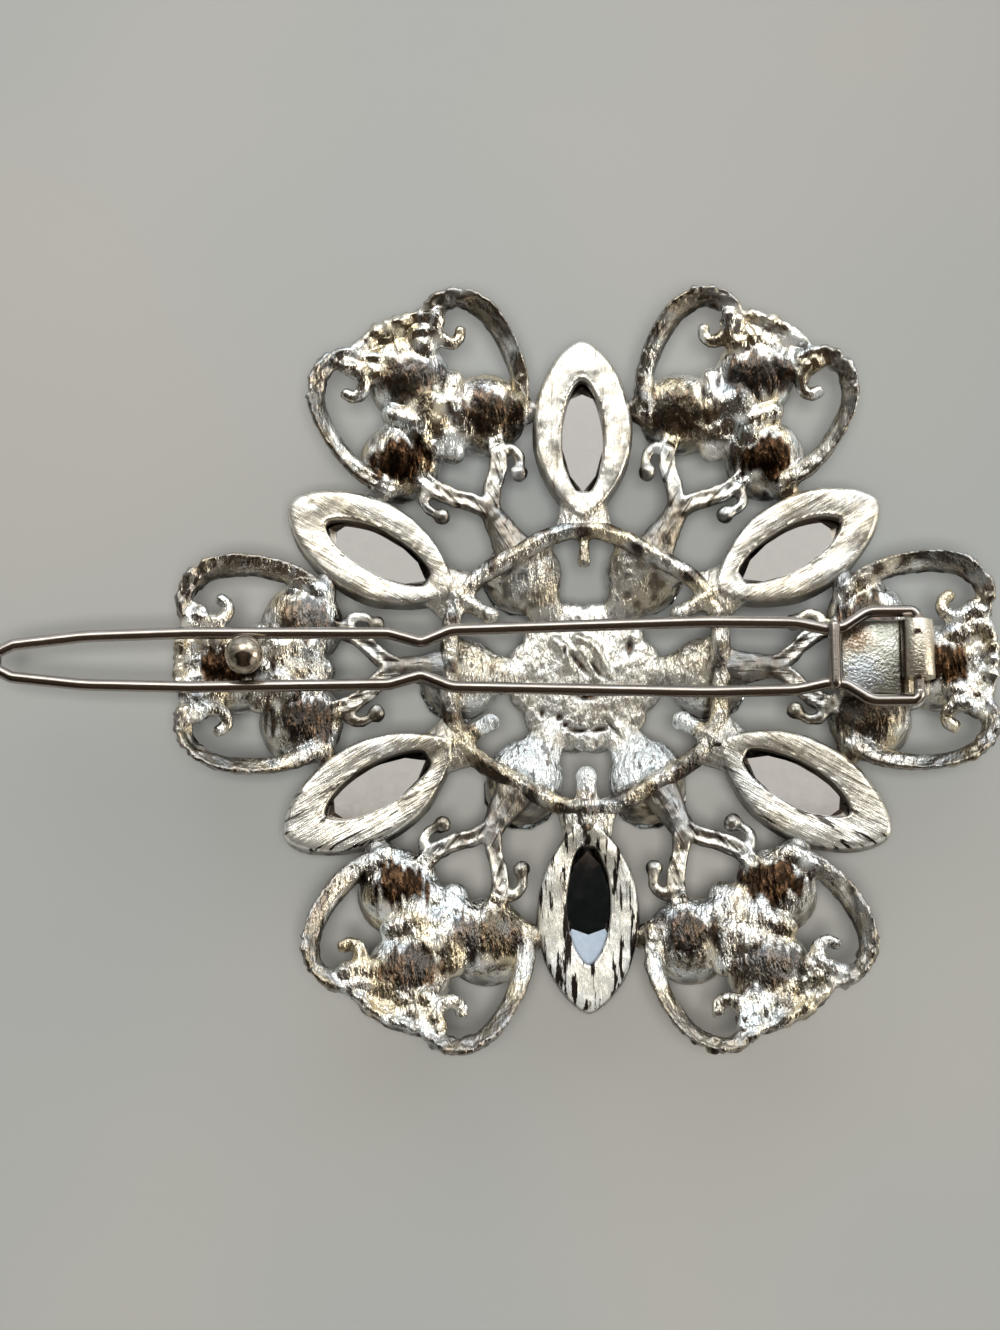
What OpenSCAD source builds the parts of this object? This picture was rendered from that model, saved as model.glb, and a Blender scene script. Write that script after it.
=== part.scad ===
// Openwork crystal flower in plated white metal, with a wire clip hinged across its back.
// It lies face down: the stones' tables point to -Z and the clip side points to +Z.
// Origin: the middle of the centre stone's table, which is the lowest face of all.
// +X runs from the flower's middle to the hinge, so the clip's loop end points to -X.
// All sizes are in millimetres. Six petals stand at 0, 60 ... 300 degrees, and six
// boat-shaped settings stand between them at 30, 90 ... 330 degrees.

/* [Flower] */
// Number of petals, and of boat-shaped settings between them
petals = 6; // [6]
// Height of the frame's flat back above the centre stone's table
back_z = 8.0; // [7.6:0.1:8.6]
// How far each petal leans up from the middle to its tip, in degrees
petal_lean = 10; // [6:1:12]
// Height of a petal's back plane at its middle
petal_z = 8.3; // [8.1:0.1:8.5]
// Distance from the flower's axis to a petal's middle
petal_r = 21.0; // [20.5:0.1:21.5]

/* [Centre setting] */
// Girdle radius of the centre stone
center_stone_r = 3.95; // [3.6:0.05:4.1]
// Radius of the centre setting's scalloped body
boss_r = 5.05; // [4.8:0.05:5.2]
// Number of scallops round the centre setting
scallops = 12; // [10:1:14]
// Radius of one scallop
scallop_r = 0.72; // [0.6:0.02:0.8]
// Height of the centre setting's front rim
boss_rim_z = 1.7; // [1.5:0.1:2.0]
// Height of the centre setting's back
boss_back_z = 5.6; // [5.3:0.1:5.7]

/* [Inner settings] */
// Distance from the axis to the six inner round settings
inner_r = 7.9; // [7.7:0.1:8.1]
// Outer radius of an inner round setting
inner_cup_r = 2.5; // [2.4:0.05:2.55]
// Depth of an inner setting from its rounded back to its front rim
inner_depth = 4.0; // [3.8:0.1:4.2]
// Height of an inner setting's rounded back
inner_back_z = 6.3; // [6.1:0.1:6.5]
// How far an inner setting leans outwards to its front, in degrees
inner_lean = 12; // [8:1:14]
// Girdle radius of an inner stone, which sits on its setting's rim and shows past it
inner_stone_r = 2.62; // [2.55:0.01:2.7]
// Thickness of the arm that joins an inner setting to the centre setting
neck_t = 1.7; // [1.5:0.1:2.0]
// Width of that arm where it runs into the inner setting
neck_w = 4.2; // [3.6:0.2:4.6]

/* [Petal settings] */
// Distance from the axis to the outer stone of a petal
outer_cup_u = 23.5; // [23.3:0.1:23.7]
// Distance from the axis to the two inner stones of a petal
pair_cup_u = 18.9; // [18.7:0.1:19.1]
// Distance of those two stones from the petal's middle line
pair_cup_v = 3.36; // [3.2:0.02:3.5]
// Radius of a petal setting at its front rim
cup_rim_r = 2.78; // [2.7:0.02:2.85]
// Depth of a petal setting from its back to its front rim
cup_depth = 4.0; // [3.6:0.1:4.2]
// Rise of a petal setting's rounded back over the petal's back plane
cup_crown = 0.55; // [0.4:0.05:0.7]
// Wall of a round setting at its rim
cup_wall = 0.2; // [0.18:0.01:0.25]

/* [Boat settings] */
// Distance from the axis to the inner end of a boat-shaped setting
boat_in_r = 10.3; // [10.0:0.1:10.6]
// Distance from the axis to its outer tip
boat_out_r = 23.3; // [23.0:0.1:23.6]
// Its width
boat_w = 6.8; // [6.5:0.1:7.0]
// Its depth
boat_depth = 2.1; // [1.9:0.1:2.4]
// Length of the window through its back
window_l = 8.6; // [8.2:0.1:9.0]
// Width of the window through its back
window_w = 3.3; // [3.0:0.1:3.5]
// Shift of the window from the setting's middle towards the flower's axis
window_shift = 0.7; // [0.5:0.1:0.8]
// Length of the boat-cut stone
boat_stone_l = 10.8; // [10.2:0.1:11.0]
// Width of the boat-cut stone
boat_stone_w = 5.2; // [5.0:0.1:5.4]

/* [Openwork] */
// Radius of the ring's rod
ring_rod = 0.6; // [0.5:0.05:0.65]
// Distance from the axis to the ring at the boat-shaped settings
ring_corner_r = 9.75; // [9.6:0.05:9.9]
// Distance from the axis to the ring between them
ring_side_r = 9.2; // [9.0:0.05:9.4]
// Length of the nubs that point from the ring to the middle
nub_l = 2.7; // [2.3:0.1:2.9]
// Width of the ribbon that forms a petal's loops
loop_w = 1.3; // [1.15:0.05:1.4]
// Depth of that ribbon
loop_depth = 1.4; // [1.2:0.05:1.6]
// Rise of the ribbon's outer edge over its inner edge, halfway round the loop
loop_lip = 1.1; // [0.8:0.05:1.2]
// Radius of the rim that runs from loop to loop past the outer setting
rim_r = 6.7; // [6.5:0.05:6.8]
// Radius of the stems from the ring to the petals
stem_rod = 0.6; // [0.5:0.05:0.65]
// Radius of the small curls beside the stems
curl_rod = 0.42; // [0.36:0.02:0.46]
// Radius of the ball at the end of a curl
curl_ball = 0.62; // [0.55:0.01:0.7]

/* [Clip] */
// Radius of the clip's wire
wire_r = 0.4; // [0.36:0.02:0.42]
// Height of the wire's middle, which is also the height of the hinge axis
wire_z = 10.45; // [10.4:0.05:10.6]
// Distance of the hinge axis from the flower's axis
hinge_x = 22.1; // [21.9:0.1:22.3]
// Distance of the loop end from the flower's axis
loop_end_x = 39.4; // [38.5:0.1:40]
// Distance of the ball catch from the flower's axis
catch_x = 22.85; // [22.7:0.05:23.0]
// Radius of the ball catch, which passes between the wires
catch_ball_r = 1.25; // [1.15:0.01:1.27]
// Height of the ball's middle
catch_z = 11.9; // [11.8:0.1:12.2]
// Outer radius of the hinge barrel
barrel_r = 1.1; // [1.0:0.05:1.15]
// Length of the hinge barrel
barrel_l = 3.9; // [3.6:0.1:4.0]
// Width of the leaf that the barrel is rolled from
leaf_w = 5.0; // [4.0:0.1:5.0]
// Length of that leaf from the hinge axis to its straight edge
leaf_l = 5.0; // [4.6:0.1:5.2]
// Shift of the barrel to one side, as the hand-set one shows
barrel_shift = 0.4; // [0:0.1:0.5]
// Sideways shift of the leaf
leaf_shift = 0.1; // [-0.2:0.1:0.1]

/* [Fits] */
// Gap between a stone and its setting
stone_gap = 0.08; // [0.06:0.01:0.12]
// Radial running clearance of the wire's ends in the barrel
pin_gap = 0.06; // [0.04:0.01:0.09]
// Gap between the hinge leaf and the pad that it is fixed on
leaf_gap = 0.04; // [0.02:0.01:0.1]

/* [Hidden] */
step = 360 / petals;
numbers = [for (k = [0 : petals - 1]) k];
boat_l = boat_out_r - boat_in_r;
boat_r = (boat_out_r + boat_in_r) / 2;
boat_front_z = back_z - boat_depth;
rod_z = back_z - ring_rod;
pocket_depth = 0.9;
rim_u = 20.6;
rod_sides = 5;
cup_sides = 10;
cup_stone_r = cup_rim_r * cos(180 / cup_sides) - cup_wall - stone_gap;
wire_sides = 8;
wire_section_r = wire_r * sqrt(2 * PI / (wire_sides * sin(360 / wire_sides)));
web_t = 1.0;
leaf_t = 0.5;
leaf_z = wire_z - barrel_r;
pad_top = leaf_z - leaf_gap;
pin_r = 0.93 * wire_r;
bore_r = pin_r + pin_gap;
crossbar_x = 16.5;
crossbar_lift = 0.55;
crossbar_l = 4.7;
pin_reach = 1.2;
pin_root_y = 2.5;
bend_step = 30;
eps = 0.01;

// A petal's loop from the boat setting's flank, round the tip, to the outer cup's side.
// Columns: distance from the flower's axis, distance from the petal's middle line.
LOOP = [
    [17.7, 4.7],
    [19.3, 5.95],
    [21.4, 6.55],
    [23.6, 6.65],
    [25.2, 6.3],
    [26.3, 5.5],
    [26.75, 4.5],
    [26.4, 3.3],
    [24.6, 2.6]
];
// One arm of the fork between the ring and a petal. Columns as above.
ARM = [
    [13.3, 0],
    [14.6, 1.5],
    [15.8, 2.4],
    [17.0, 2.9]
];
// The curl beside that arm. Columns as above.
CURL = [
    [16.1, 2.6],
    [15.9, 3.4],
    [15.1, 3.65],
    [14.2, 3.1]
];
// One leg of the clip, from the loop end to the hinge.
// Columns: X, half the distance between the two legs, radius of the bend there.
LEG = [
    [-loop_end_x + 1.1, 1.1, 1.0],
    [-33.5, 1.65, 8],
    [-26.5, 1.85, 12],
    [-13.2, 1.75, 1.6],
    [-11.0, 1.12, 0.9],
    [-9.0, 1.95, 2.0],
    [8.0, 2.4, 20],
    [14.0, 2.3, 5],
    [16.0, 1.85, 1.5],
    [17.2, 1.95, 1.2],
    [18.9, 3.05, 1.6],
    [hinge_x, 3.05, 0.5]
];

// Outline of a boat shape of length l and width w with n points, pointed at both ends
function boat(l, w, n) =
    let (
        h = w / 2,
        arc_r = (l * l / 4 + h * h) / (2 * h),
        span = asin(l / 2 / arc_r),
        m = n / 2
    )
    [for (side = [1, -1], i = [0 : m - 1])
        let (a = -span + 2 * span * i / m)
        side * [arc_r * sin(a), h - arc_r + arc_r * cos(a)]];

// Outline of a long oval of length l and width w with n points and blunt ends
function oval(l, w, n) =
    [for (i = [0 : n - 1])
        let (a = 360 * i / n, s = sin(a))
        [l / 2 * cos(a), w / 2 * sign(s) * pow(abs(s), 1.25)]];

// Cross-section of a round or oval rod: rows of [across, up]
function oval_section(half_w, half_d, sides = rod_sides) =
    [for (j = [0 : sides - 1])
        let (a = 360 * (j + 0.5) / sides)
        [half_w * cos(a), half_d * sin(a)]];

// Cross-section of a petal's loop, from its inner front edge round to its inner back edge
function loop_section() =
    let (front = 0.5 - loop_depth)
    [
        [-0.27 * loop_w, front],
        [0.55 * loop_w, front + 0.1],
        [0.65 * loop_w, 0.35],
        [0.12 * loop_w, 0.5],
        [-0.35 * loop_w, 0.2]
    ];

// Mirror the children across a petal's middle line and keep both
module both_sides() {
    children();
    mirror([0, 1, 0]) children();
}

// Repeat the children round the flower, starting at angle first
module round_flower(first = 0) {
    for (k = numbers) rotate(first + step * k) children();
}

// Put the children into the leaning plane of the petal on the X axis
module petal_plane() {
    translate([petal_r, 0, petal_z])
        rotate([0, -petal_lean, 0])
            translate([-petal_r, 0, 0])
                children();
}

// A rod of the given cross-section along a line that lies flat at height z.
// Towards the middle of the line it tilts up about its inner edge, to the slope given.
module rod(line, z, section, slope = 0) {
    sides = len(section);
    last = len(line) - 1;
    function rise(i, across) =
        slope * pow(sin(180 * i / last), 2) * (across - section[sides - 1][0]);
    function heading(i) = line[min(i + 1, last)] - line[max(i - 1, 0)];
    function along(i) = heading(i) / norm(heading(i));
    points = [for (i = [0 : last], j = [0 : sides - 1])
        let (across = section[j][0], up = section[j][1] + rise(i, section[j][0]))
        [line[i][0] - along(i)[1] * across, line[i][1] + along(i)[0] * across, z + up]];
    walls = [for (i = [0 : last - 1], j = [0 : sides - 1])
        let (n = (j + 1) % sides)
        [i * sides + j, (i + 1) * sides + j, (i + 1) * sides + n, i * sides + n]];
    first_cap = [for (j = [0 : sides - 1]) j];
    last_cap = [for (j = [sides - 1 : -1 : 0]) last * sides + j];
    polyhedron(points, concat(walls, [first_cap, last_cap]), convexity = 4);
}

// The closed ring, a circle that swells a little towards the boat-shaped settings
module ring() {
    sides = 24;
    middle = (ring_corner_r + ring_side_r) / 2;
    swell = (ring_corner_r - ring_side_r) / 2;
    points = [for (i = [0 : sides - 1], j = [0 : rod_sides - 1])
        let (
            a = 360 * i / sides,
            b = 360 * (j + 0.5) / rod_sides,
            r = middle - swell * cos(petals * a) + ring_rod * cos(b)
        )
        [r * cos(a), r * sin(a), rod_z + ring_rod * sin(b)]];
    faces = [for (i = [0 : sides - 1], j = [0 : rod_sides - 1])
        let (n = (j + 1) % rod_sides, m = (i + 1) % sides)
        [i * rod_sides + j, i * rod_sides + n, m * rod_sides + n, m * rod_sides + j]];
    polyhedron(points, faces, convexity = 6);
}

// A nub that runs in from a boat setting, past the ring, and ends in a small ball
module nub() {
    tip = ring_corner_r - nub_l;
    section = oval_section(curl_rod, curl_rod);
    rod([[boat_in_r + 0.7, 0], [tip + curl_rod, 0]], rod_z, section);
    translate([tip + curl_rod, 0, rod_z]) sphere(curl_ball - 0.07, $fn = 6);
}

// A round setting's solid body: lathe of half profiles given as [radius, height] rows
module turned(profile, sides = cup_sides) {
    rotate_extrude($fn = sides) polygon(profile);
}

// Body of one petal setting, open towards the front, on its own axis
module cup_body() {
    front = cup_crown - cup_depth;
    turned([
        [0, front],
        [cup_rim_r, front],
        [cup_rim_r - 0.25, -0.8],
        [cup_rim_r - 1.1, 0.25],
        [0, cup_crown]
    ]);
}

// Room for a round stone of girdle radius r behind a rim at height front
module stone_room(r, front, sides = cup_sides) {
    room_r = (r + stone_gap) / cos(180 / sides);
    turned([
        [0, front - eps],
        [room_r, front - eps],
        [room_r, front + pocket_depth],
        [0, front + pocket_depth + 0.8 * r]
    ], sides);
}

// Put the children at the back of the inner setting on the X axis, in line with it
module inner_plane() {
    translate([inner_r, 0, inner_back_z]) rotate([0, -inner_lean, 0]) children();
}

// Body of one inner round setting, its neck to the centre and its strut to the ring
module inner_body() {
    neck_z = [4.4, 4.9];
    strut_z = inner_back_z - 1.2;
    inner_plane() turned([
        [0, -inner_depth],
        [inner_cup_r, -inner_depth],
        [inner_cup_r - 0.1, -1.1],
        [inner_cup_r - 0.9, -0.1],
        [0, 0.15]
    ]);
    hull() {
        translate([boss_r - 0.6, 0, neck_z[0]]) sphere(neck_t / 2, $fn = 6);
        both_sides()
            translate([inner_r - 1, (neck_w - neck_t) / 2, neck_z[1]])
                sphere(neck_t / 2, $fn = 6);
    }
    hull() {
        translate([inner_r + 0.7, 0, strut_z]) cylinder(r = 0.7, h = 0.2, $fn = 6);
        translate([ring_side_r, 0, rod_z - 0.2]) cylinder(r = 0.5, h = 0.4, $fn = 6);
    }
}

// Cone-shaped seat in an inner setting's front, which its stone's point reaches into
module inner_seat() {
    mouth = inner_cup_r - 0.2;
    inner_plane() turned([
        [0, -inner_depth - eps],
        [mouth, -inner_depth - eps],
        [0, 0.8 * mouth - inner_depth]
    ]);
}

// The centre setting: a cup with a scalloped wall and a flattened dome behind
module boss() {
    outline = [for (i = [0 : 3 * scallops - 1])
        let (a = 120 * i / scallops, r = boss_r + 0.35 * scallop_r * cos(scallops * a))
        r * [cos(a), sin(a)]];
    wall_top = boss_back_z - 1.3;
    translate([0, 0, boss_rim_z])
        linear_extrude(wall_top - boss_rim_z) polygon(outline);
    translate([0, 0, wall_top - eps])
        linear_extrude(boss_back_z - wall_top - 0.4, scale = 0.8) polygon(outline);
    translate([0, 0, boss_rim_z])
        cylinder(r1 = boss_r, r2 = 0.45 * boss_r, h = boss_back_z - boss_rim_z, $fn = 12);
}

// A boat-shaped setting: an open band with a ledge behind the stone
module boat_body() {
    translate([boat_r, 0, boat_front_z])
        linear_extrude(boat_depth, scale = 0.97)
            polygon(boat(boat_l, boat_w, 14));
}

// Room for the boat-cut stone, and the window through the back
module boat_room() {
    ledge_z = back_z - 1.05;
    translate([boat_r, 0, boat_front_z - eps])
        linear_extrude(ledge_z - boat_front_z + eps)
            polygon(boat(boat_stone_l + 3 * stone_gap, boat_stone_w + 2 * stone_gap, 12));
    translate([boat_r - window_shift, 0, ledge_z - eps])
        linear_extrude(boat_depth)
            polygon(oval(window_l, window_w, 12));
}

// The metal of one petal in its leaning plane, but for its stone rooms
module petal_body() {
    branch = [[24.3, 2.3], [23.6, 4.2]];
    translate([outer_cup_u, 0, 0]) cup_body();
    both_sides() {
        translate([pair_cup_u, pair_cup_v, 0]) cup_body();
        rod(LOOP, 0, loop_section(), loop_lip / loop_w);
        rod(branch, -0.23, oval_section(0.45, 0.5));
    }
    petal_rim();
    hull() {
        both_sides() web_corner([pair_cup_u + 0.9, 1.6]);
        web_corner([outer_cup_u - 1.8, 0]);
    }
}

// One corner of the web between a petal's three settings
module web_corner(at) {
    translate([at[0], at[1], -0.6]) cylinder(r = 0.9, h = web_t, $fn = 5);
}

// The rim of a petal past its outer setting, with an edge that stands up
module petal_rim() {
    reach = 33;
    arc = [for (a = [reach : -reach / 2 : -reach])
        [rim_u + rim_r * cos(a), rim_r * sin(a)]];
    rod(arc, 0, [[-1.2, -1.9], [0.15, -1.6], [0.45, 0.35], [-1.5, -0.1]]);
}

// The three stone rooms of one petal
module petal_rooms() {
    front = cup_crown - cup_depth;
    translate([outer_cup_u, 0, 0]) stone_room(cup_stone_r, front);
    both_sides() translate([pair_cup_u, pair_cup_v, 0]) stone_room(cup_stone_r, front);
}

// Stem, fork and curls between the ring and the petal on the X axis
module fork() {
    rod([[ring_side_r, 0], [ARM[0][0] + 0.4, 0]], rod_z, oval_section(stem_rod, stem_rod));
    both_sides() {
        rod(ARM, rod_z, oval_section(0.5, 0.5));
        rod(CURL, rod_z, oval_section(curl_rod, curl_rod));
        translate([CURL[3][0] - 0.1, CURL[3][1] - 0.05, rod_z]) sphere(curl_ball, $fn = 6);
    }
}

// The lump that joins a loop's foot to the flank of the boat setting beside it
module link() {
    petal_end = [14.5, 18.4, 0.95];
    boat_end = [18.8, 18.7, 0.85];
    both_sides() hull()
        for (row = [petal_end, boat_end])
            rotate(row[0]) translate([row[1], 0, back_z - row[2]]) sphere(row[2], $fn = 6);
}

// Post and ball that the clip's wires close over
module ball_catch() {
    translate([-catch_x, 0, back_z - 0.5])
        cylinder(r1 = 1.1, r2 = 0.6, h = catch_z - back_z, $fn = 8);
    translate([-catch_x, 0, catch_z]) sphere(catch_ball_r, $fn = 12);
}

// Flat pad on the petal beside the hinge, which the leaf lies on
module hinge_pad() {
    draft = 0.3;
    translate([hinge_x - leaf_l, leaf_shift - leaf_w / 2, 0]) hull() {
        translate([0, 0, pad_top - 0.6]) cube([leaf_l + 0.8, leaf_w, 0.6]);
        translate([3 * draft, draft, back_z - draft]) cube([leaf_l - draft, leaf_w - 2 * draft, 0.4]);
    }
}

// The whole casting, one solid
module flower_frame() {
    color([0.78, 0.77, 0.74])
        difference() {
            union() {
                boss();
                ring();
                ball_catch();
                hinge_pad();
                round_flower() {
                    inner_body();
                    fork();
                    link();
                    petal_plane() petal_body();
                }
                round_flower(step / 2) {
                    boat_body();
                    nub();
                }
            }
            stone_room(center_stone_r, boss_rim_z, 2 * scallops);
            round_flower() {
                inner_seat();
                petal_plane() petal_rooms();
            }
            round_flower(step / 2) boat_room();
        }
}

// A round brilliant: table, star and kite facets, girdle and pavilion, front towards -Z.
// The girdle starts at height z and has the given number of sides.
module brilliant(r, z, sides) {
    crown = 0.42 * r;
    belt = 0.1 * r;
    hull() {
        translate([0, 0, z - crown]) cylinder(r = 0.58 * r, h = eps, $fn = sides / 2);
        translate([0, 0, z - 0.6 * crown])
            rotate(360 / sides) cylinder(r = 0.82 * r, h = eps, $fn = sides / 2);
        translate([0, 0, z]) rotate(180 / sides) cylinder(r = r, h = belt, $fn = sides);
        translate([0, 0, z + belt + 0.62 * r]) cylinder(r = 0.06 * r, h = eps, $fn = 3);
    }
}

// The large round stone in the middle
module stone_center() {
    color([0.86, 0.92, 0.96, 0.6]) brilliant(center_stone_r, 0.42 * center_stone_r, 16);
}

// Round stone number k + 1 of the inner six
module stone_inner(k) {
    proud = 0.6;
    color([0.86, 0.92, 0.96, 0.6])
        rotate(step * k) inner_plane()
            brilliant(inner_stone_r, -inner_depth - proud, 12);
}

// Boat-cut stone number k + 1
module stone_boat(k) {
    girdle_z = boat_front_z + 0.15;
    color([0.86, 0.92, 0.96, 0.6])
        rotate(step * (k + 0.5)) translate([boat_r, 0, 0])
            hull() {
                translate([0, 0, girdle_z - 1.1])
                    linear_extrude(eps) polygon(boat(0.62 * boat_stone_l, 0.56 * boat_stone_w, 8));
                translate([0, 0, girdle_z])
                    linear_extrude(0.25) polygon(boat(boat_stone_l, boat_stone_w, 12));
                translate([-window_shift / 2, 0, girdle_z + 0.95])
                    linear_extrude(eps) polygon(boat(0.62 * boat_stone_l, 0.3 * boat_stone_w, 8));
            }
}

// Round stone number k + 1 of the petals: three to a petal, the outer one first
module stone_petal(k) {
    place = k % 3;
    side = place == 1 ? 1 : -1;
    at = place == 0 ? [outer_cup_u, 0, 0] : [pair_cup_u, side * pair_cup_v, 0];
    color([0.86, 0.92, 0.96, 0.6])
        rotate(step * floor(k / 3)) petal_plane() translate(at)
            brilliant(cup_stone_r, cup_crown - cup_depth + 0.1, 12);
}

// Leaf and barrel of the hinge, rolled from one strip
module hinge_leaf() {
    bore_l = barrel_l + 2;
    color([0.74, 0.73, 0.7])
        difference() {
            union() {
                translate([hinge_x - leaf_l, leaf_shift - leaf_w / 2, leaf_z])
                    cube([leaf_l, leaf_w, leaf_t]);
                translate([hinge_x, barrel_shift - barrel_l / 2, wire_z])
                    rotate([-90, 0, 0]) cylinder(r = barrel_r, h = barrel_l, $fn = 48);
            }
            translate([hinge_x, barrel_shift - bore_l / 2, wire_z])
                rotate([-90, 0, 0]) cylinder(r = bore_r, h = bore_l, $fn = 48);
        }
}

// Points along rows of [x, y, bend radius], with each bend cut into short chords
function bent(rows) =
    let (last = len(rows) - 1)
    [for (i = [0 : last])
        let (p = [rows[i][0], rows[i][1]])
        each (i == 0 || i == last) ? [p] :
            let (
                before = p - [rows[i - 1][0], rows[i - 1][1]],
                after = [rows[i + 1][0], rows[i + 1][1]] - p,
                a = before / norm(before),
                b = after / norm(after),
                turn = atan2(a[0] * b[1] - a[1] * b[0], a * b),
                chords = max(1, ceil(abs(turn) / bend_step)),
                start = p - rows[i][2] * abs(tan(turn / 2)) * a,
                middle = start + sign(turn) * rows[i][2] * [-a[1], a[0]],
                arm = start - middle
            )
            [for (k = [0 : chords])
                let (t = turn * k / chords)
                middle + [arm[0] * cos(t) - arm[1] * sin(t), arm[0] * sin(t) + arm[1] * cos(t)]]
    ];

// One end of the wire, which turns in the barrel from the side given as 1 or -1
module hinge_pin(side) {
    inner_y = barrel_shift + side * (barrel_l / 2 - pin_reach);
    pin_l = pin_root_y - side * inner_y + 0.3;
    translate([hinge_x, inner_y, wire_z])
        rotate([-90 * side, 0, 0]) cylinder(r = pin_r, h = pin_l, $fn = 32);
}

// The bent wire, with its two ends turned in to the hinge and a crossbar soldered across
module clip_wire() {
    lower = [for (i = [len(LEG) - 1 : -1 : 0]) [LEG[i][0], -LEG[i][1], LEG[i][2]]];
    line = bent(concat(
        [[hinge_x, -pin_root_y, 0]],
        lower,
        [[-loop_end_x, -0.55, 0.5], [-loop_end_x, 0.55, 0.5]],
        LEG,
        [[hinge_x, pin_root_y, 0]]
    ));
    color([0.7, 0.69, 0.66]) {
        rod(line, wire_z, oval_section(wire_section_r, wire_section_r, wire_sides));
        hinge_pin(1);
        hinge_pin(-1);
        translate([crossbar_x, -crossbar_l / 2, wire_z + crossbar_lift])
            rotate([-90, 0, 0]) cylinder(r = wire_r, h = crossbar_l, $fn = 32);
    }
}

flower_frame();
hinge_leaf();
clip_wire();
stone_center();
for (k = numbers) {
    stone_inner(k);
    stone_boat(k);
}
for (k = [0 : 3 * petals - 1])
    stone_petal(k);
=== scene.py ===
import math

import bmesh
import bpy
import numpy as np
from mathutils import Matrix, Vector


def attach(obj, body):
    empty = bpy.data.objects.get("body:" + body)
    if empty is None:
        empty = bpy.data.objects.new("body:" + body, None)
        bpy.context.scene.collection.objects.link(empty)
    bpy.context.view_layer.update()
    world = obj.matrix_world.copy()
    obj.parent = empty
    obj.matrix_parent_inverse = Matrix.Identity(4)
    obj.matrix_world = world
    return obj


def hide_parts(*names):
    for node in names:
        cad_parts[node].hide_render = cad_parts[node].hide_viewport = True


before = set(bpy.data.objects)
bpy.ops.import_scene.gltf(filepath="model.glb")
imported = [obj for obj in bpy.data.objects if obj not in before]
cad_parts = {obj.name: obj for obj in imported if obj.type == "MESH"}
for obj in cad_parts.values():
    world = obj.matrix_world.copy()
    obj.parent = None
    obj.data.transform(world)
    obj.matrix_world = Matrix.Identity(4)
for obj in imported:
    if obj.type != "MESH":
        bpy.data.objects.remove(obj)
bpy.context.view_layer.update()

# Openwork crystal flower in plated metal, lying on its face, with a wire clip across its back.
# Sizes are in millimetres in the same frame as the CAD model, and MM turns them into metres.

MM = 0.001

# Camera of the photograph: it looks down at the flower's back, 13 degrees off the flower's axis
CAMERA_TILT = (-13.02, -0.21, 0.36)
CAMERA_SHIFT = (5.77, -0.05)
CAMERA_DISTANCE = 202.1
CAMERA_TARGET_Z = 8.0
CAMERA_LENS = 107.9
SENSOR_WIDTH = 36.0

# Sizes of the flower, as in the CAD model. R is a radius or a distance from the flower's axis, U a
# distance along a petal and V across it, L a length, W a width, T a thickness and Z a height.
PETALS = 6
STEP = 360 / PETALS
BACK_Z = 8.0

# Petals: their plane leans by so many degrees about the line at PETAL_R
PETAL_LEAN = 10
PETAL_Z = 8.3
PETAL_R = 21.0
OUTER_CUP_U = 23.5
PAIR_CUP_U = 18.9
PAIR_CUP_V = 3.36
CUP_RIM_R = 2.78
CUP_FRONT = -3.45
CUP_CROWN = 0.55
RIM_U = 20.6
RIM_R = 6.7

# Boat-shaped settings, their windows and stones; BARE_STONE is the one with a bare facet
BOAT_IN_R = 10.3
BOAT_OUT_R = 23.3
BOAT_MIDDLE_R = (BOAT_OUT_R + BOAT_IN_R) / 2
BOAT_W = 6.8
BOAT_DEPTH = 2.1
WINDOW_L = 8.6
WINDOW_W = 3.3
WINDOW_SHIFT = 0.7
BOAT_STONE_L = 10.8
BOAT_STONE_W = 5.2
BOAT_TABLE_L = 6.7
BOAT_TABLE_W = 2.9
BARE_STONE = 4

# Ring rod with its nubs and the curls
RING_ROD = 0.6
RING_CORNER_R = 9.75
RING_SIDE_R = 9.2
ROD_Z = BACK_Z - RING_ROD
NUB_L = 2.7
CURL_ROD = 0.42
CURL_BALL = 0.62

# Inner settings and the boss of the centre stone with its back plate
INNER_R = 7.9
INNER_CUP_R = 2.5
INNER_DEPTH = 4.0
INNER_BACK_Z = 6.3
INNER_LEAN = 12
BOSS_R = 5.05
BOSS_RIM_Z = 1.7
SCALLOPS = 12
PLATE_Z = 5.5
PIT_LOWEST_Z = 4.6

# Clip wire, catch and hinge. The catch is 0.15 mm nearer the axis than the CAD model's and its
# ball 0.1 mm larger.
WIRE_R = 0.4
WIRE_Z = 10.45
HINGE_X = 22.1
LOOP_END_X = 39.4
CATCH_X = 22.7
CATCH_BALL_R = 1.3
CATCH_Z = 11.9
BARREL_R = 1.1
BARREL_L = 3.9
BARREL_SHIFT = 0.4
BORE_R = 0.432
PIN_R = 0.372
LEAF_W = 5.0
LEAF_L = 5.0
LEAF_SHIFT = 0.1
LEAF_T = 0.5
CROSSBAR_X = 16.5
CROSSBAR_LIFT = 0.55
CROSSBAR_L = 4.7

# A loop, its hook, an arm and its curl. Columns: U, V
LOOP = [(17.7, 4.7), (19.3, 5.95), (21.4, 6.55), (23.6, 6.65), (25.2, 6.3), (26.3, 5.5), (26.75, 4.5),
        (26.4, 3.3), (24.6, 2.6)]
HOOK = [(26.3, 3.5), (25.5, 3.0), (24.7, 3.1), (24.15, 3.6), (24.2, 4.25), (24.6, 4.5)]
ARM = [(12.9, 0.2), (13.9, 0.8), (14.8, 1.7), (15.8, 2.4), (17.2, 2.9)]
CURL = [(16.1, 2.6), (15.9, 3.4), (15.1, 3.65), (14.2, 3.1)]
# Circle that follows the loop
LOOP_X = 22.2
LOOP_Y = 1.5
LOOP_R = 5.3
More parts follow.
